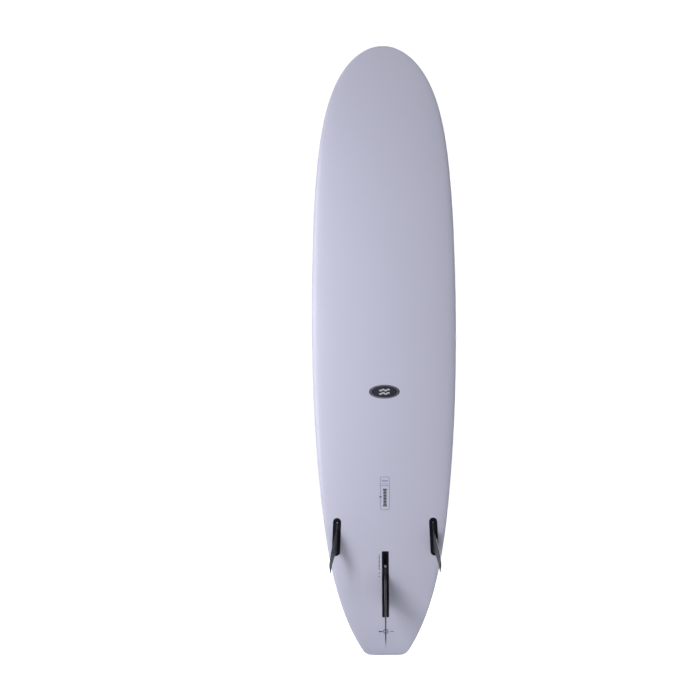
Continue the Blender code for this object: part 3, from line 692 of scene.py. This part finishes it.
def build_centre_box():
    """A long box flush with the bottom; its slot widens to a groove where the pin and the plate run."""
    outer = (*spans(CENTRE_BOX_HALF), CENTRE_BOX_CORNER)
    slot = (*spans(SLOT_HALF), CENTRE_BOX_CORNER)
    groove = (GROOVE_HALF_WIDTH, *slot[1:])
    rings = [
        *box_rings(outer, slot, CENTRE_BOX_DEPTH, CENTRE),
        raised(rounded(*slot), GROOVE_TOP),
        raised(rounded(*groove), GROOVE_TOP),
        raised(rounded(*groove), GROOVE_FLOOR),
        raised(rounded(*slot), GROOVE_FLOOR),
        raised(rounded(*slot), -SLOT_DEPTH),
    ]
    box = lofted("centre_fin_box", rings, CENTRE)
    ends = (NOTCH_CENTRE - NOTCH_HALF_LENGTH, NOTCH_CENTRE + NOTCH_HALF_LENGTH)
    levels = ((GROOVE_TOP + GROOVE_FLOOR) / 2.0, OVERCUT)
    combine(box, "DIFFERENCE", block("notch", GROOVE_HALF_WIDTH, ends, levels, CENTRE))
    dress(box, "box_plastic", "board", "center_fin_box")


def build_centre_fin(screw_line, pin_line):
    """The blade with its base, and a front tab that the screw and the plate clamp."""
    fin = blade("centre_fin", CENTRE_FIN, CENTRE_FIN_ROOT, CENTRE)
    half = CENTRE_FIN_BASE_HALF
    levels = (-CENTRE_FIN_BASE_DEPTH, CENTRE_FIN_BASE_TOP)
    tab_ends = (CENTRE_FIN_BASE[1] - OVERCUT, TAB_FRONT)
    base = block("base", half, CENTRE_FIN_BASE, levels, CENTRE)
    combine(fin, "UNION", base, block("tab", half, tab_ends, (TAB_BOTTOM, TAB_TOP), CENTRE))
    hole = clamp_hole(TAB_BOTTOM, TAB_TOP, screw_line)
    bore = [(PIN_RADIUS + GAP, -OVERCUT), (PIN_RADIUS + GAP, OVERCUT)]
    combine(fin, "DIFFERENCE", hole, turned("bore", bore, pin_line))
    dress(fin, "fin_composite", "center_fin_body", "center_fin")


def clamp_hole(low, high, line):
    """A cutter for the clamping screw's hole."""
    return turned("hole", [(TAB_HOLE_RADIUS, low - EDGE), (TAB_HOLE_RADIUS, high + EDGE)], line)


def bevelled_rod(name, radius, low, high, bevel, line, steps=64):
    profile = [(radius - bevel, low), (radius, low + bevel), (radius, high - bevel), (radius - bevel, high)]
    return turned(name, profile, line, steps)


def build_centre_pin(line):
    pin = bevelled_rod("centre_fin_pin", PIN_RADIUS, -PIN_HALF_LENGTH, PIN_HALF_LENGTH, FINE_EDGE, line)
    dress(pin, "brass", "center_fin_body", "center_fin_pin")


def build_centre_plate(screw_line):
    ends = (CENTRE_SCREW_Y - PLATE_HALF[1], CENTRE_SCREW_Y + PLATE_HALF[1])
    levels = (PLATE_TOP - PLATE_THICKNESS, PLATE_TOP)
    plate = block("centre_fin_plate", PLATE_HALF[0], ends, levels, CENTRE)
    combine(plate, "DIFFERENCE", clamp_hole(*levels, screw_line))
    dress(plate, "stainless", "center_fin_body", "center_fin_plate")


def build_centre_screw(line):
    """A pan head screw with a cross recess."""
    seat = TAB_TOP + GAP
    head, shank, top = SCREW_HEAD_RADIUS, CENTRE_SCREW_RADIUS, SCREW_HEAD_TOP
    crown = [
        (head * math.cos(a), seat + (top - seat) * (SCREW_HEAD_RIM + (1.0 - SCREW_HEAD_RIM) * math.sin(a)))
        for a in np.linspace(0.0, SCREW_HEAD_TURN, SCREW_HEAD_STEPS)
    ]
    profile = [
        (shank - CENTRE_SCREW_POINT, CENTRE_SCREW_END),
        (shank, CENTRE_SCREW_END + CENTRE_SCREW_POINT),
        (shank, seat),
        (head - FINE_EDGE, seat),
        (head, seat + FINE_EDGE),
        *crown,
    ]
    screw = turned("centre_fin_screw", profile, line)
    half_x, half_y = RECESS_HALF
    floor_x, floor_y = half_x * RECESS_TAPER[0], half_y * RECESS_TAPER[1]
    arms = []
    for k in range(2):
        turn = line @ Matrix.Rotation(k * math.pi / 2.0, 4, "Z")
        floor = raised(rounded(floor_x, -floor_y, floor_y, FINE_EDGE), top - RECESS_DEPTH)
        mouth = raised(rounded(half_x, -half_y, half_y, FINE_EDGE), top + EDGE)
        arms.append(lofted("arm", [floor, mouth], turn))
    combine(screw, "DIFFERENCE", *arms)
    dress(screw, "stainless", "center_screw_body", "center_fin_screw")


def build_side_box(name, place):
    """A round-ended box with a slot for the fin's tab, and a screw hole that leans into the slot."""
    outer = (*spans(SIDE_BOX_HALF), SIDE_BOX_HALF[0])
    slot = (SIDE_SLOT_HALF_WIDTH, *SIDE_SLOT_ENDS, EDGE * 2.0)
    rings = [*box_rings(outer, slot, SIDE_BOX_DEPTH, place), raised(rounded(*slot), -SIDE_SLOT_DEPTH)]
    box = lofted(f"{name}_fin_box", rings, place)
    boss_line = place @ Matrix.Translation((0.0, SIDE_SCREW_Y, 0.0))
    boss = [
        (BOSS_RADIUS - EDGE, -BOSS_DEPTH),
        (BOSS_RADIUS, -BOSS_DEPTH + EDGE),
        (BOSS_RADIUS, -FINE_EDGE),
        (BOSS_RADIUS + BOSS_FLARE, BOSS_FLARE),
    ]
    bore = SIDE_SCREW_RADIUS + GAP
    hole = [(bore, -SIDE_SCREW_LENGTH - 2.0 * GAP), (bore, OVERCUT)]
    boss = turned("boss", boss, boss_line)
    combine(box, "DIFFERENCE", boss, turned("hole", hole, screw_frame(place)))
    dress(box, "box_plastic", "board", f"{name}_fin_box")


def screw_frame(place):
    """The line of a side fin's screw: z points out of its hole."""
    lean = Matrix.Rotation(-SIDE_SCREW_LEAN, 4, "X")
    return place @ Matrix.Translation((0.0, SIDE_SCREW_Y, SIDE_SCREW_Z)) @ lean


def build_side_screw(name, place):
    """A set screw with a hexagon socket."""
    line = screw_frame(place)
    sizes = (SIDE_SCREW_RADIUS, -SIDE_SCREW_LENGTH, 0.0, SIDE_SCREW_BEVEL)
    screw = bevelled_rod(f"{name}_fin_screw", *sizes, line)
    mouth = SOCKET_RADIUS + FINE_EDGE
    socket = [(SOCKET_RADIUS, -SOCKET_DEPTH), (SOCKET_RADIUS, -FINE_EDGE), (mouth, EDGE)]
    combine(screw, "DIFFERENCE", turned("socket", socket, line, steps=6))
    dress(screw, "stainless", f"{name}_screw_body", f"{name}_fin_screw")


def build_side_fin(name, side, place):
    """A fin with a flat inner face and a tab that fills its box's slot."""
    fin = blade(f"{name}_fin", SIDE_FIN, SIDE_FIN_ROOT, place, flat_side=side)
    levels = (-SIDE_TAB_DEPTH, SIDE_TAB_TOP)
    combine(fin, "UNION", block("tab", SIDE_TAB_HALF, SIDE_TAB_ENDS, levels, place))
    dress(fin, "fin_composite", f"{name}_fin_body", f"{name}_fin")


def eased(radius, z, across, along):
    """Three points round a profile's corner, from `along` it to `across` it."""
    middle = (radius + across * ROUND_OFF, z + along * ROUND_OFF)
    return [(radius, z + along), middle, (radius + across, z)]


def build_plug():
    """A round cup with a flange on the deck and a bar across it to tie a leash to."""
    body, flange, bore = PLUG_BODY_RADIUS, PLUG_FLANGE_RADIUS, PLUG_CUP_RADIUS
    foot = -PLUG_CUP_DEPTH - PLUG_WALL
    rim = PLUG_EDGE / 2.0
    profile = [
        (body - PLUG_EDGE, foot),
        (body, foot + PLUG_EDGE),
        (body, -PLUG_FLANGE_DEPTH),
        (flange - FINE_EDGE, -PLUG_FLANGE_DEPTH),
        (flange, FINE_EDGE - PLUG_FLANGE_DEPTH),
        *eased(flange, PLUG_PROUD, -rim, -rim),
        *reversed(eased(bore, PLUG_PROUD, PLUG_EDGE, -PLUG_EDGE)),
        *eased(bore, -PLUG_CUP_DEPTH, -PLUG_FLOOR_BEVEL, PLUG_FLOOR_BEVEL),
    ]
    cup = turned("leash_plug_cup", profile, PLUG, steps=96)
    line = PLUG @ Matrix.Translation((0.0, 0.0, -PLUG_PIN_DEPTH)) @ QUARTER_TURN
    hole = [(PLUG_PIN_RADIUS + GAP, -flange), (PLUG_PIN_RADIUS + GAP, flange)]
    combine(cup, "DIFFERENCE", turned("hole", hole, line, steps=32))
    dress(cup, "box_plastic", "board", "leash_plug_cup")
    sizes = (PLUG_PIN_RADIUS, -PLUG_PIN_HALF_LENGTH, PLUG_PIN_HALF_LENGTH, EDGE)
    pin = bevelled_rod("leash_plug_bar", *sizes, line, steps=48)
    dress(pin, "stainless", "board", "leash_plug_pin")


# ---- prints


def resampled(points, step=PRINT_STEP, closed=False):
    """Points along a line, no further apart than the step."""
    line = np.array(list(points) + ([points[0]] if closed else []), float)
    lengths = np.concatenate(([0.0], np.cumsum(np.linalg.norm(np.diff(line, axis=0), axis=1))))
    count = max(math.ceil(lengths[-1] / step), 1) + 1
    at = np.linspace(0.0, lengths[-1], count)
    made = np.column_stack([np.interp(at, lengths, line[:, k]) for k in range(2)])
    return made[:-1] if closed else made


def stroke(points, width, step=PRINT_STEP, closed=False):
    """The flat points and faces of a strip along a line of (u, v) points."""
    line = resampled(points, step, closed)
    if closed:
        ahead, behind = np.roll(line, -1, axis=0), np.roll(line, 1, axis=0)
    else:
        ahead, behind = np.vstack((line[1:], line[-1:])), np.vstack((line[:1], line[:-1]))
    along = ahead - behind
    along /= np.linalg.norm(along, axis=1)[:, None]
    out = np.column_stack((-along[:, 1], along[:, 0])) * width / 2.0
    flat = np.column_stack((line + out, line - out)).reshape(-1, 2)
    count = len(line)
    faces = []
    for k in range(count if closed else count - 1):
        n = (k + 1) % count
        faces.append((2 * k, 2 * k + 1, 2 * n + 1, 2 * n))
    return flat, faces


def dot(u, v, radius_u, radius_v, rings=1, steps=24):
    """The flat points and faces of a filled ellipse."""
    flat = [(u, v)]
    faces = [(0, 1 + k, 1 + (k + 1) % steps) for k in range(steps)]
    for ring in range(1, rings + 1):
        share = ring / rings
        flat += [(u + radius_u * share * x, v + radius_v * share * y) for x, y in circle(1.0, steps)]
    return np.array(flat), faces + ring_faces(rings, steps, first=1)


def bar(u, v, width, height):
    """A filled rectangle about (u, v)."""
    return stroke([(u, v - height / 2.0), (u, v + height / 2.0)], width)


def on_face(side):
    """Finds the point and the normal of the surface over (x, z): the deck's for -1, the bottom's for 1."""

    def find(x, z):
        point, normal, _, _ = HULL.ray_cast(Vector((x, side, z)), Vector((0.0, -side, 0.0)))
        return point, normal

    return find


def rail_line(z):
    """Points from the rail's bottom corner round to the middle of the deck, with the lengths to them."""
    x, y = section(z, np.linspace(NET_START, math.pi / 2.0, RAIL_POINTS))
    steps = np.hypot(np.diff(x), np.diff(y))
    return x, y, np.concatenate(([0.0], np.cumsum(steps)))


def on_rail(side):
    """Finds the point and the normal at a length round the rail from its bottom corner."""

    def find(length, z):
        x, y, lengths = rail_line(z)
        point = Vector((side * np.interp(length, lengths, x), np.interp(length, lengths, y), z))
        near, normal, _, _ = HULL.find_nearest(point)
        return near, normal

    return find


def printed(name, sheets, find, look="print_dark", proud=PRINT_PROUD):
    """A thin film on the laminate from flat sheets of points and faces."""
    verts, faces = [], []
    for flat, flat_faces in sheets:
        first, count = len(verts), len(flat)
        found = [find(float(u), float(v)) for u, v in flat]
        verts += [point + normal * proud for point, normal in found]
        verts += [point - normal * PRINT_SUNK for point, normal in found]
        sides = {}
        for face in flat_faces:
            face = [first + k for k in face]
            faces += [tuple(face), tuple(k + count for k in reversed(face))]
            for a, b in zip(face, face[1:] + face[:1]):
                if (b, a) in sides:
                    del sides[(b, a)]
                else:
                    sides[(a, b)] = True
        faces += [(b, a, a + count, b + count) for a, b in sides]
    dress(solid(name, verts, faces), look, "board", slot="gloss_laminate")


def inner_limit(z):
    """How far from the centre line the lattice starts at a height z."""
    x, low = NET_INNER[0]
    rail = half_width(PATCH_LOW)
    inward, upward = PATCH_RISE
    below = bezier((rail, PATCH_LOW), (rail - inward, PATCH_LOW + upward), (x, low - PATCH_DROP), (x, low))
    line = np.vstack((below, bezier(*NET_INNER)[1:]))
    return float(np.interp(z, line[:, 1], line[:, 0]))


def inner_length(z):
    """The length round the rail to the lattice's inner limit."""
    x, _, lengths = rail_line(z)
    widest = int(np.argmax(x))
    reach = min(inner_limit(z), x[widest])
    return float(np.interp(-reach, -x[widest:], lengths[widest:]))


def climb(length):
    """How far a rising line has climbed at a length round the rail."""
    return length**2 / (length + NET_BEND)


def net_lines():
    """The lattice's lines as (length round the rail, height) points."""
    level, pitch, lines = NET_TOP, NET_PITCH, []
    while level > PATCH_LOW:
        lines.append([(0.0, level), (inner_length(level), level)])
        rising, length = [(0.0, level)], NET_STEP
        while length < inner_length(level + climb(length)):
            rising.append((length, level + climb(length)))
            length += NET_STEP
        lines.append(rising)
        level -= pitch
        pitch = max(pitch - NET_CLOSING, NET_FINEST)
    return [line for line in lines if len(line) > 1]


def patch_sheet():
    """The solid print between the tail and the lattice."""
    flat = []
    for row in range(PATCH_ROWS + 1):
        z = PATCH_LOW + EDGE + (PATCH_TOP - PATCH_LOW) * row / PATCH_ROWS
        reach = inner_length(z)
        flat += [(reach * k / PATCH_COLUMNS, z) for k in range(PATCH_COLUMNS + 1)]
    faces, row_length = [], PATCH_COLUMNS + 1
    for row in range(PATCH_ROWS):
        for k in range(PATCH_COLUMNS):
            here = row * row_length + k
            faces.append((here, here + 1, here + 1 + row_length, here + row_length))
    return np.array(flat), faces


def build_deck_prints():
    build_rail_prints()
    deck = on_face(-1)
    build_stringer_line(deck)
    build_plug_marks(deck)
    build_badge("deck_badge", DECK_BADGE_Z, deck)


def build_rail_prints():
    """The lattice and the solid patch beyond it, on both rails."""
    lines = net_lines()
    patch = patch_sheet()
    for name, side in (("left", -1), ("right", 1)):
        rail = on_rail(side)
        sheets = [stroke(line, NET_WIDTH, NET_STEP) for line in lines]
        printed(f"{name}_rail_lattice", sheets, rail, "print_grey")
        printed(f"{name}_rail_patch", [patch], rail, "print_blue", UNDERPRINT_PROUD)


def build_stringer_line(deck):
    """The stringer's edge seen through the skin, broken by the leash plug."""
    plug_z = PLUG.translation.z
    below = [(0.0, LINE_ENDS), (0.0, plug_z - LINE_GAP[0])]
    above = [(0.0, plug_z + LINE_GAP[1]), (0.0, LENGTH - LINE_ENDS)]
    sheets = [stroke(below, STRINGER_LINE), stroke(above, STRINGER_LINE, 2 * PRINT_STEP)]
    printed("stringer_line", sheets, deck, "print_grey", UNDERPRINT_PROUD)


def build_plug_marks(deck):
    """Short marks in a ring round the leash plug."""
    plug_z = PLUG.translation.z
    marks = []
    for k in range(PLUG_MARKS):
        turn = math.tau * k / PLUG_MARKS
        ends = [(r * math.sin(turn), plug_z + r * math.cos(turn)) for r in PLUG_MARK_RADII]
        marks.append(stroke(ends, NET_WIDTH))
    printed("plug_ring_marks", marks, deck)


def build_badge(name, z, find):
    """A dark ellipse with a thin pale border and two pale waves."""
    half_x, half_z = BADGE_HALF
    printed(name, [dot(0.0, z, half_x, half_z, BADGE_RINGS, BADGE_STEPS)], find)
    share, width = BADGE_BORDER
    border = [(half_x * share * x, z + half_z * share * y) for x, y in circle(1.0, BADGE_STEPS)]
    sheets = [stroke(border, width, closed=True)]
    turns = np.linspace(-1.0, 1.0, WAVE_POINTS)
    for row in WAVE_ROWS:
        wave = [(WAVE_REACH * t, z + row + WAVE_HEIGHT * math.sin(math.tau * t)) for t in turns]
        sheets.append(stroke(wave, WAVE_WIDTH, PRINT_STEP / 4.0))
    printed(f"{name}_waves", sheets, find, "print_pale", OVERPRINT_PROUD)


def build_bottom_prints():
    base = on_face(1)
    build_badge("bottom_badge", BOTTOM_BADGE_Z, base)
    build_label(base)
    build_fin_scale(base)
    build_emblem(base)


def build_label(base):
    """A round-cornered outline with a headed box above a column of bars."""
    outline = rounded(LABEL_HALF_WIDTH, *LABEL_ENDS, LABEL_CORNER, corner_steps=6, side_steps=2)
    inner = LABEL_HALF_WIDTH - LABEL_LINE / 2.0
    divider = [(-inner, LABEL_DIVIDER), (inner, LABEL_DIVIDER)]
    sheets = [stroke(outline, LABEL_LINE, closed=True), stroke(divider, LABEL_LINE)]
    sheets += [bar(0.0, LABEL_DIVIDER + up, LABEL_HEAD_LENGTH, height) for up, height in LABEL_HEADS]
    printed("label_outline", sheets, base, "print_grey")
    rows = np.linspace(*LABEL_ROWS, LABEL_ROW_COUNT)
    short, long, height = LABEL_BARS
    sheets = []
    for k, z in enumerate(rows):
        at_end = k in (0, LABEL_ROW_COUNT - 1)
        sheets.append(bar(0.0, z, long if at_end else short, height))
    sheets.append(bar(LABEL_HALF_WIDTH, rows[LABEL_ROW_COUNT // 2], *LABEL_TICK))
    printed("label_bars", sheets, base)


def build_fin_scale(base):
    """Ticks and two dots beside the centre box, for setting the fin."""
    short, long, height = SCALE_BARS
    sheets = []
    for k, z in enumerate(np.linspace(*SCALE_ENDS, SCALE_TICKS)):
        sheets.append(bar(SCALE_X, z, short if k % SCALE_LONG_EVERY else long, height))
    sheets += [dot(SCALE_X, z, SCALE_DOT, SCALE_DOT) for z in SCALE_DOTS]
    printed("fin_scale_marks", sheets, base)


def build_emblem(base):
    """A plain ring round a dot, between two bars."""
    radius, width = EMBLEM_RING
    hub = radius * EMBLEM_HUB
    ring = [(x, EMBLEM_Z + y) for x, y in circle(radius, EMBLEM_STEPS)]
    sheets = [stroke(ring, width, PRINT_STEP / 2.0, closed=True), dot(0.0, EMBLEM_Z, hub, hub)]
    sheets += [bar(x, EMBLEM_Z, width, height) for x, width, height in EMBLEM_BARS]
    printed("tail_marks", sheets, base)


# ---- materials


def node(tree, kind, inputs=(), **settings):
    """A shader node with its settings and inputs; an input is a value or another node's output."""
    made = tree.nodes.new(f"ShaderNode{kind}")
    for key, value in settings.items():
        setattr(made, key, value)
    fill(tree, made, inputs)
    return made


def fill(tree, made, inputs):
    """Sets or links a node's inputs."""
    for key, value in dict(inputs).items():
        if isinstance(value, bpy.types.NodeSocket):
            tree.links.new(value, made.inputs[key])
        else:
            made.inputs[key].default_value = value


def stretched(tree, scale=(1.0, 1.0, 1.0)):
    """The piece's own coordinates, times a scale along each axis."""
    place = node(tree, "TexCoord").outputs["Object"]
    return node(tree, "Mapping", {"Vector": place, "Scale": scale}).outputs["Vector"]


def noise(tree, scale, detail=3.0, roughness=0.5, stretch=(1.0, 1.0, 1.0)):
    """Noise from 0 to 1 of about `scale` blots to a metre."""
    inputs = {"Vector": stretched(tree, stretch), "Scale": scale, "Detail": detail, "Roughness": roughness}
    return node(tree, "TexNoise", inputs).outputs["Fac"]


def between(tree, factor, low, high):
    """A number that runs from low to high as the factor goes over the span of most noise."""
    start, end = NOISE_SPAN
    inputs = {"Value": factor, "From Min": start, "From Max": end, "To Min": low, "To Max": high}
    return node(tree, "MapRange", inputs).outputs["Result"]


def mixed(tree, factor, dark, light, blend="MIX"):
    """A colour that runs from dark to light with the factor; either may be another node's output."""
    ends = [c if isinstance(c, bpy.types.NodeSocket) else (*c, 1.0) for c in (dark, light)]
    inputs = {"Factor": factor, MIX_COLOURS[0]: ends[0], MIX_COLOURS[1]: ends[1]}
    return node(tree, "Mix", inputs, data_type="RGBA", blend_type=blend).outputs[MIX_RESULT]


def shaded(colour, spread):
    """A colour made darker and lighter by a share."""
    return [tuple(c * (1.0 + sign * spread) for c in colour) for sign in (-1.0, 1.0)]


def look(name, metallic=0.0, coat=0.0, coat_roughness=0.1, specular=0.5, sheen=0.0):
    """A material with only its shader, and that shader's tree."""
    made = bpy.data.materials.new(name)
    made.use_nodes = True
    shader = made.node_tree.nodes["Principled BSDF"]
    constants = {
        "Metallic": metallic,
        "Coat Weight": coat,
        "Coat Roughness": coat_roughness,
        "Specular IOR Level": specular,
        "Sheen Weight": sheen,
        "Sheen Roughness": SHEEN_ROUGHNESS,
    }
    fill(made.node_tree, shader, constants)
    return made, made.node_tree, shader


def connect(tree, shader, colour, roughness, height, depth, strength=1.0):
    """Joins a colour, a roughness and a bump of some depth in metres to the shader."""
    bump = node(tree, "Bump", {"Height": height, "Distance": depth, "Strength": strength})
    inputs = {"Base Color": colour, "Roughness": roughness, "Normal": bump.outputs["Normal"]}
    fill(tree, shader, inputs)


def weave(tree):
    """Plain woven cloth: threads along the board and across it."""
    place = stretched(tree)
    scale = 1.0 / (WEAVE_RADIAN * TEXTURE_RADIANS)
    inputs = {"Vector": place, "Scale": scale, "Distortion": 0.4, "Detail": 1.0}
    waves = [node(tree, "TexWave", inputs, bands_direction=axis).outputs["Fac"] for axis in ("X", "Z")]
    return node(tree, "Math", enumerate(waves), operation="MULTIPLY").outputs["Value"]


def laminate_look():
    """Satin painted laminate: faintly cloudy, with the cloth just showing and a little rubbing."""
    made, tree, shader = look("gloss_laminate", coat=0.25, coat_roughness=0.28)
    clouds = noise(tree, 3.2, 4.0)
    specks = noise(tree, 900.0, 2.0)
    dark, light = shaded(LAMINATE_COLOUR, 0.018)
    fine_dark, fine_light = shaded((1.0, 1.0, 1.0), 0.012)
    cloudy = mixed(tree, clouds, dark, light)
    grain = mixed(tree, specks, fine_dark, fine_light)
    colour = mixed(tree, 1.0, cloudy, grain, "MULTIPLY")
    rubbed = noise(tree, 26.0, 5.0, 0.65, (1.0, 1.0, 0.25))
    roughness = between(tree, rubbed, 0.40, 0.50)
    connect(tree, shader, colour, roughness, weave(tree), 0.00002, 0.35)
    return made


def plastic_look():
    """Matt black moulded plastic with a fine grain."""
    made, tree, shader = look("box_plastic", specular=0.16)
    grain = noise(tree, 1100.0, 4.0, 0.6)
    patches = noise(tree, 40.0, 3.0)
    colours = mixed(tree, patches, *shaded(BOX_COLOUR, 0.25))
    connect(tree, shader, colours, between(tree, patches, 0.42, 0.58), grain, 0.00002)
    return made


def composite_look():
    """Dark moulded fin composite: streaks of flow along the blade under a thin gloss."""
    made, tree, shader = look("fin_composite", coat=0.1, coat_roughness=0.3, specular=0.4, sheen=0.18)
    flow = noise(tree, 18.0, 6.0, 0.62, (3.0, 1.0, 0.6))
    scuffs = noise(tree, 140.0, 3.0, 0.7, (1.0, 0.25, 1.0))
    colours = mixed(tree, flow, *shaded(FIN_COLOUR, 0.35))
    grain = noise(tree, 1500.0, 2.0)
    connect(tree, shader, colours, between(tree, scuffs, 0.34, 0.52), grain, 0.00001)
    return made


def metal_look(name, colour, rough):
    """Turned metal with fine brushing and a few stains."""
    made, tree, shader = look(name, metallic=1.0)
    brushing = noise(tree, 2400.0, 2.0, 0.5, (1.0, 0.12, 1.0))
    stains = noise(tree, 160.0, 4.0)
    colours = mixed(tree, stains, *shaded(colour, 0.10))
    connect(tree, shader, colours, between(tree, stains, *rough), brushing, 0.000004)
    return made


def bead_foam_look():
    """White bead foam: round cells pressed together."""
    made, tree, shader = look("eps_foam", specular=0.2)
    inputs = {"Vector": stretched(tree), "Scale": 280.0}
    cells = node(tree, "TexVoronoi", inputs).outputs["Distance"]
    colours = mixed(tree, cells, *BEAD_FOAM_COLOURS)
    connect(tree, shader, colours, between(tree, noise(tree, 60.0), 0.80, 0.95), cells, 0.0006)
    return made


def dense_foam_look():
    """Tan closed-cell foam with fine pores."""
    made, tree, shader = look("insert_foam", specular=0.2)
    pores = noise(tree, 700.0, 3.0, 0.7)
    colours = mixed(tree, pores, *shaded(DENSE_FOAM_COLOUR, 0.14))
    connect(tree, shader, colours, between(tree, pores, 0.75, 0.92), pores, 0.0003)
    return made


def wood_look():
    """Pale wood whose grain runs along the board."""
    made, tree, shader = look("stringer_wood", specular=0.3)
    rings = noise(tree, 60.0, 5.0, 0.55, (3.0, 3.0, 0.05))
    fibres = noise(tree, 900.0, 3.0, 0.5, (1.0, 1.0, 0.03))
    colours = mixed(tree, rings, *WOOD_COLOURS)
    connect(tree, shader, colours, between(tree, fibres, 0.5, 0.7), fibres, 0.0001)
    return made


def ink_look(name, colour):
    """A screen print with slightly uneven ink."""
    made, tree, shader = look(name, coat=0.25, coat_roughness=0.28)
    cover = noise(tree, 420.0, 4.0, 0.6)
    colours = mixed(tree, cover, *shaded(colour, 0.07))
    connect(tree, shader, colours, between(tree, cover, 0.40, 0.52), cover, 0.00001)
    return made


LOOKS = {
    "gloss_laminate": laminate_look(),
    "eps_foam": bead_foam_look(),
    "stringer_wood": wood_look(),
    "insert_foam": dense_foam_look(),
    "box_plastic": plastic_look(),
    "fin_composite": composite_look(),
    "stainless": metal_look("stainless", STEEL_COLOUR, (0.42, 0.60)),
    "brass": metal_look("brass", BRASS_COLOUR, (0.28, 0.42)),
    **{name: ink_look(name, colour) for name, colour in INKS.items()},
}

# The frame's own parts inside the board, and the looks they get
INSIDE = {
    "eps_foam": ("core_left", "core_right"),
    "stringer_wood": ("stringer",),
    "insert_foam": ("center_box_insert", "left_box_insert", "right_box_insert", "leash_plug_insert"),
}


# ---- the whole board


def dress_frame_nodes():
    """Better materials for the parts inside the board, whose shapes stay as they are."""
    for look_name, names in INSIDE.items():
        for name in names:
            for place in frame["nodes"][name].material_slots:
                place.material = LOOKS[look_name]


def build_board():
    dress_frame_nodes()
    build_laminate()
    build_centre_box()
    screw_line = CENTRE @ Matrix.Translation((0.0, CENTRE_SCREW_Y, 0.0))
    pin_line = CENTRE @ Matrix.Translation((0.0, PIN_Y, PIN_Z)) @ QUARTER_TURN
    build_centre_fin(screw_line, pin_line)
    build_centre_pin(pin_line)
    build_centre_plate(screw_line)
    build_centre_screw(screw_line)
    for name, side, place in (("left", -1, LEFT), ("right", 1, RIGHT)):
        build_side_box(name, place)
        build_side_screw(name, place)
        build_side_fin(name, side, place)
    build_plug()
    build_deck_prints()
    build_bottom_prints()


# ---- the studio


def area_light(name, place, target, size, power):
    data = bpy.data.lights.new(name, "AREA")
    data.shape = "RECTANGLE"
    data.size, data.size_y = size
    data.energy = power
    lamp = bpy.data.objects.new(name, data)
    lamp.location = place
    lamp.rotation_euler = (Vector(target) - Vector(place)).to_track_quat("-Z", "Y").to_euler()
    bpy.context.scene.collection.objects.link(lamp)


def build_floor():
    """A wide pale floor that fades into the white room but keeps the board's soft shadow."""
    corners = [(FLOOR_REACH * x, FLOOR_REACH * y, 0.0) for x, y in ((-1, -1), (1, -1), (1, 1), (-1, 1))]
    mesh = bpy.data.meshes.new("floor")
    mesh.from_pydata(corners, [], [(0, 1, 2, 3)])
    floor = bpy.data.objects.new("floor", mesh)
    bpy.context.scene.collection.objects.link(floor)
    made, tree, shader = look("floor_paper")
    inputs = {
        "Base Color": FLOOR_COLOUR,
        "Roughness": FLOOR_ROUGHNESS,
        "Emission Strength": node(tree, "LightPath").outputs["Is Camera Ray"],
        "Emission Color": FLOOR_GLOW,
    }
    fill(tree, shader, inputs)
    mesh.materials.append(made)


def build_room():
    """White to the camera, and a dimmer soft light on the board."""
    world = bpy.data.worlds.new("room")
    bpy.context.scene.world = world
    world.use_nodes = True
    tree = world.node_tree
    tree.nodes.clear()
    seen = node(tree, "LightPath").outputs["Is Camera Ray"]
    levels = {"Value": seen, "To Min": ROOM_LIGHT, "To Max": ROOM_SEEN}
    strength = node(tree, "MapRange", levels).outputs["Result"]
    back = node(tree, "Background", {"Color": (1.0, 1.0, 1.0, 1.0), "Strength": strength})
    out = node(tree, "OutputWorld")
    tree.links.new(back.outputs["Background"], out.inputs["Surface"])


def build_studio():
    build_room()
    build_floor()
    for light in LIGHTS:
        area_light(*light)
    bpy.context.scene.view_settings.view_transform = "Standard"


def build_camera():
    data = bpy.data.cameras.new("camera")
    data.lens = CAMERA_LENS
    data.shift_x = CAMERA_SHIFT
    camera = bpy.data.objects.new("camera", data)
    camera.location = (0.0, CAMERA_AWAY, CAMERA_HEIGHT)
    camera.rotation_euler = (math.pi / 2.0, CAMERA_ROLL, math.pi)
    bpy.context.scene.collection.objects.link(camera)
    bpy.context.scene.camera = camera


build_board()
build_studio()
build_camera()
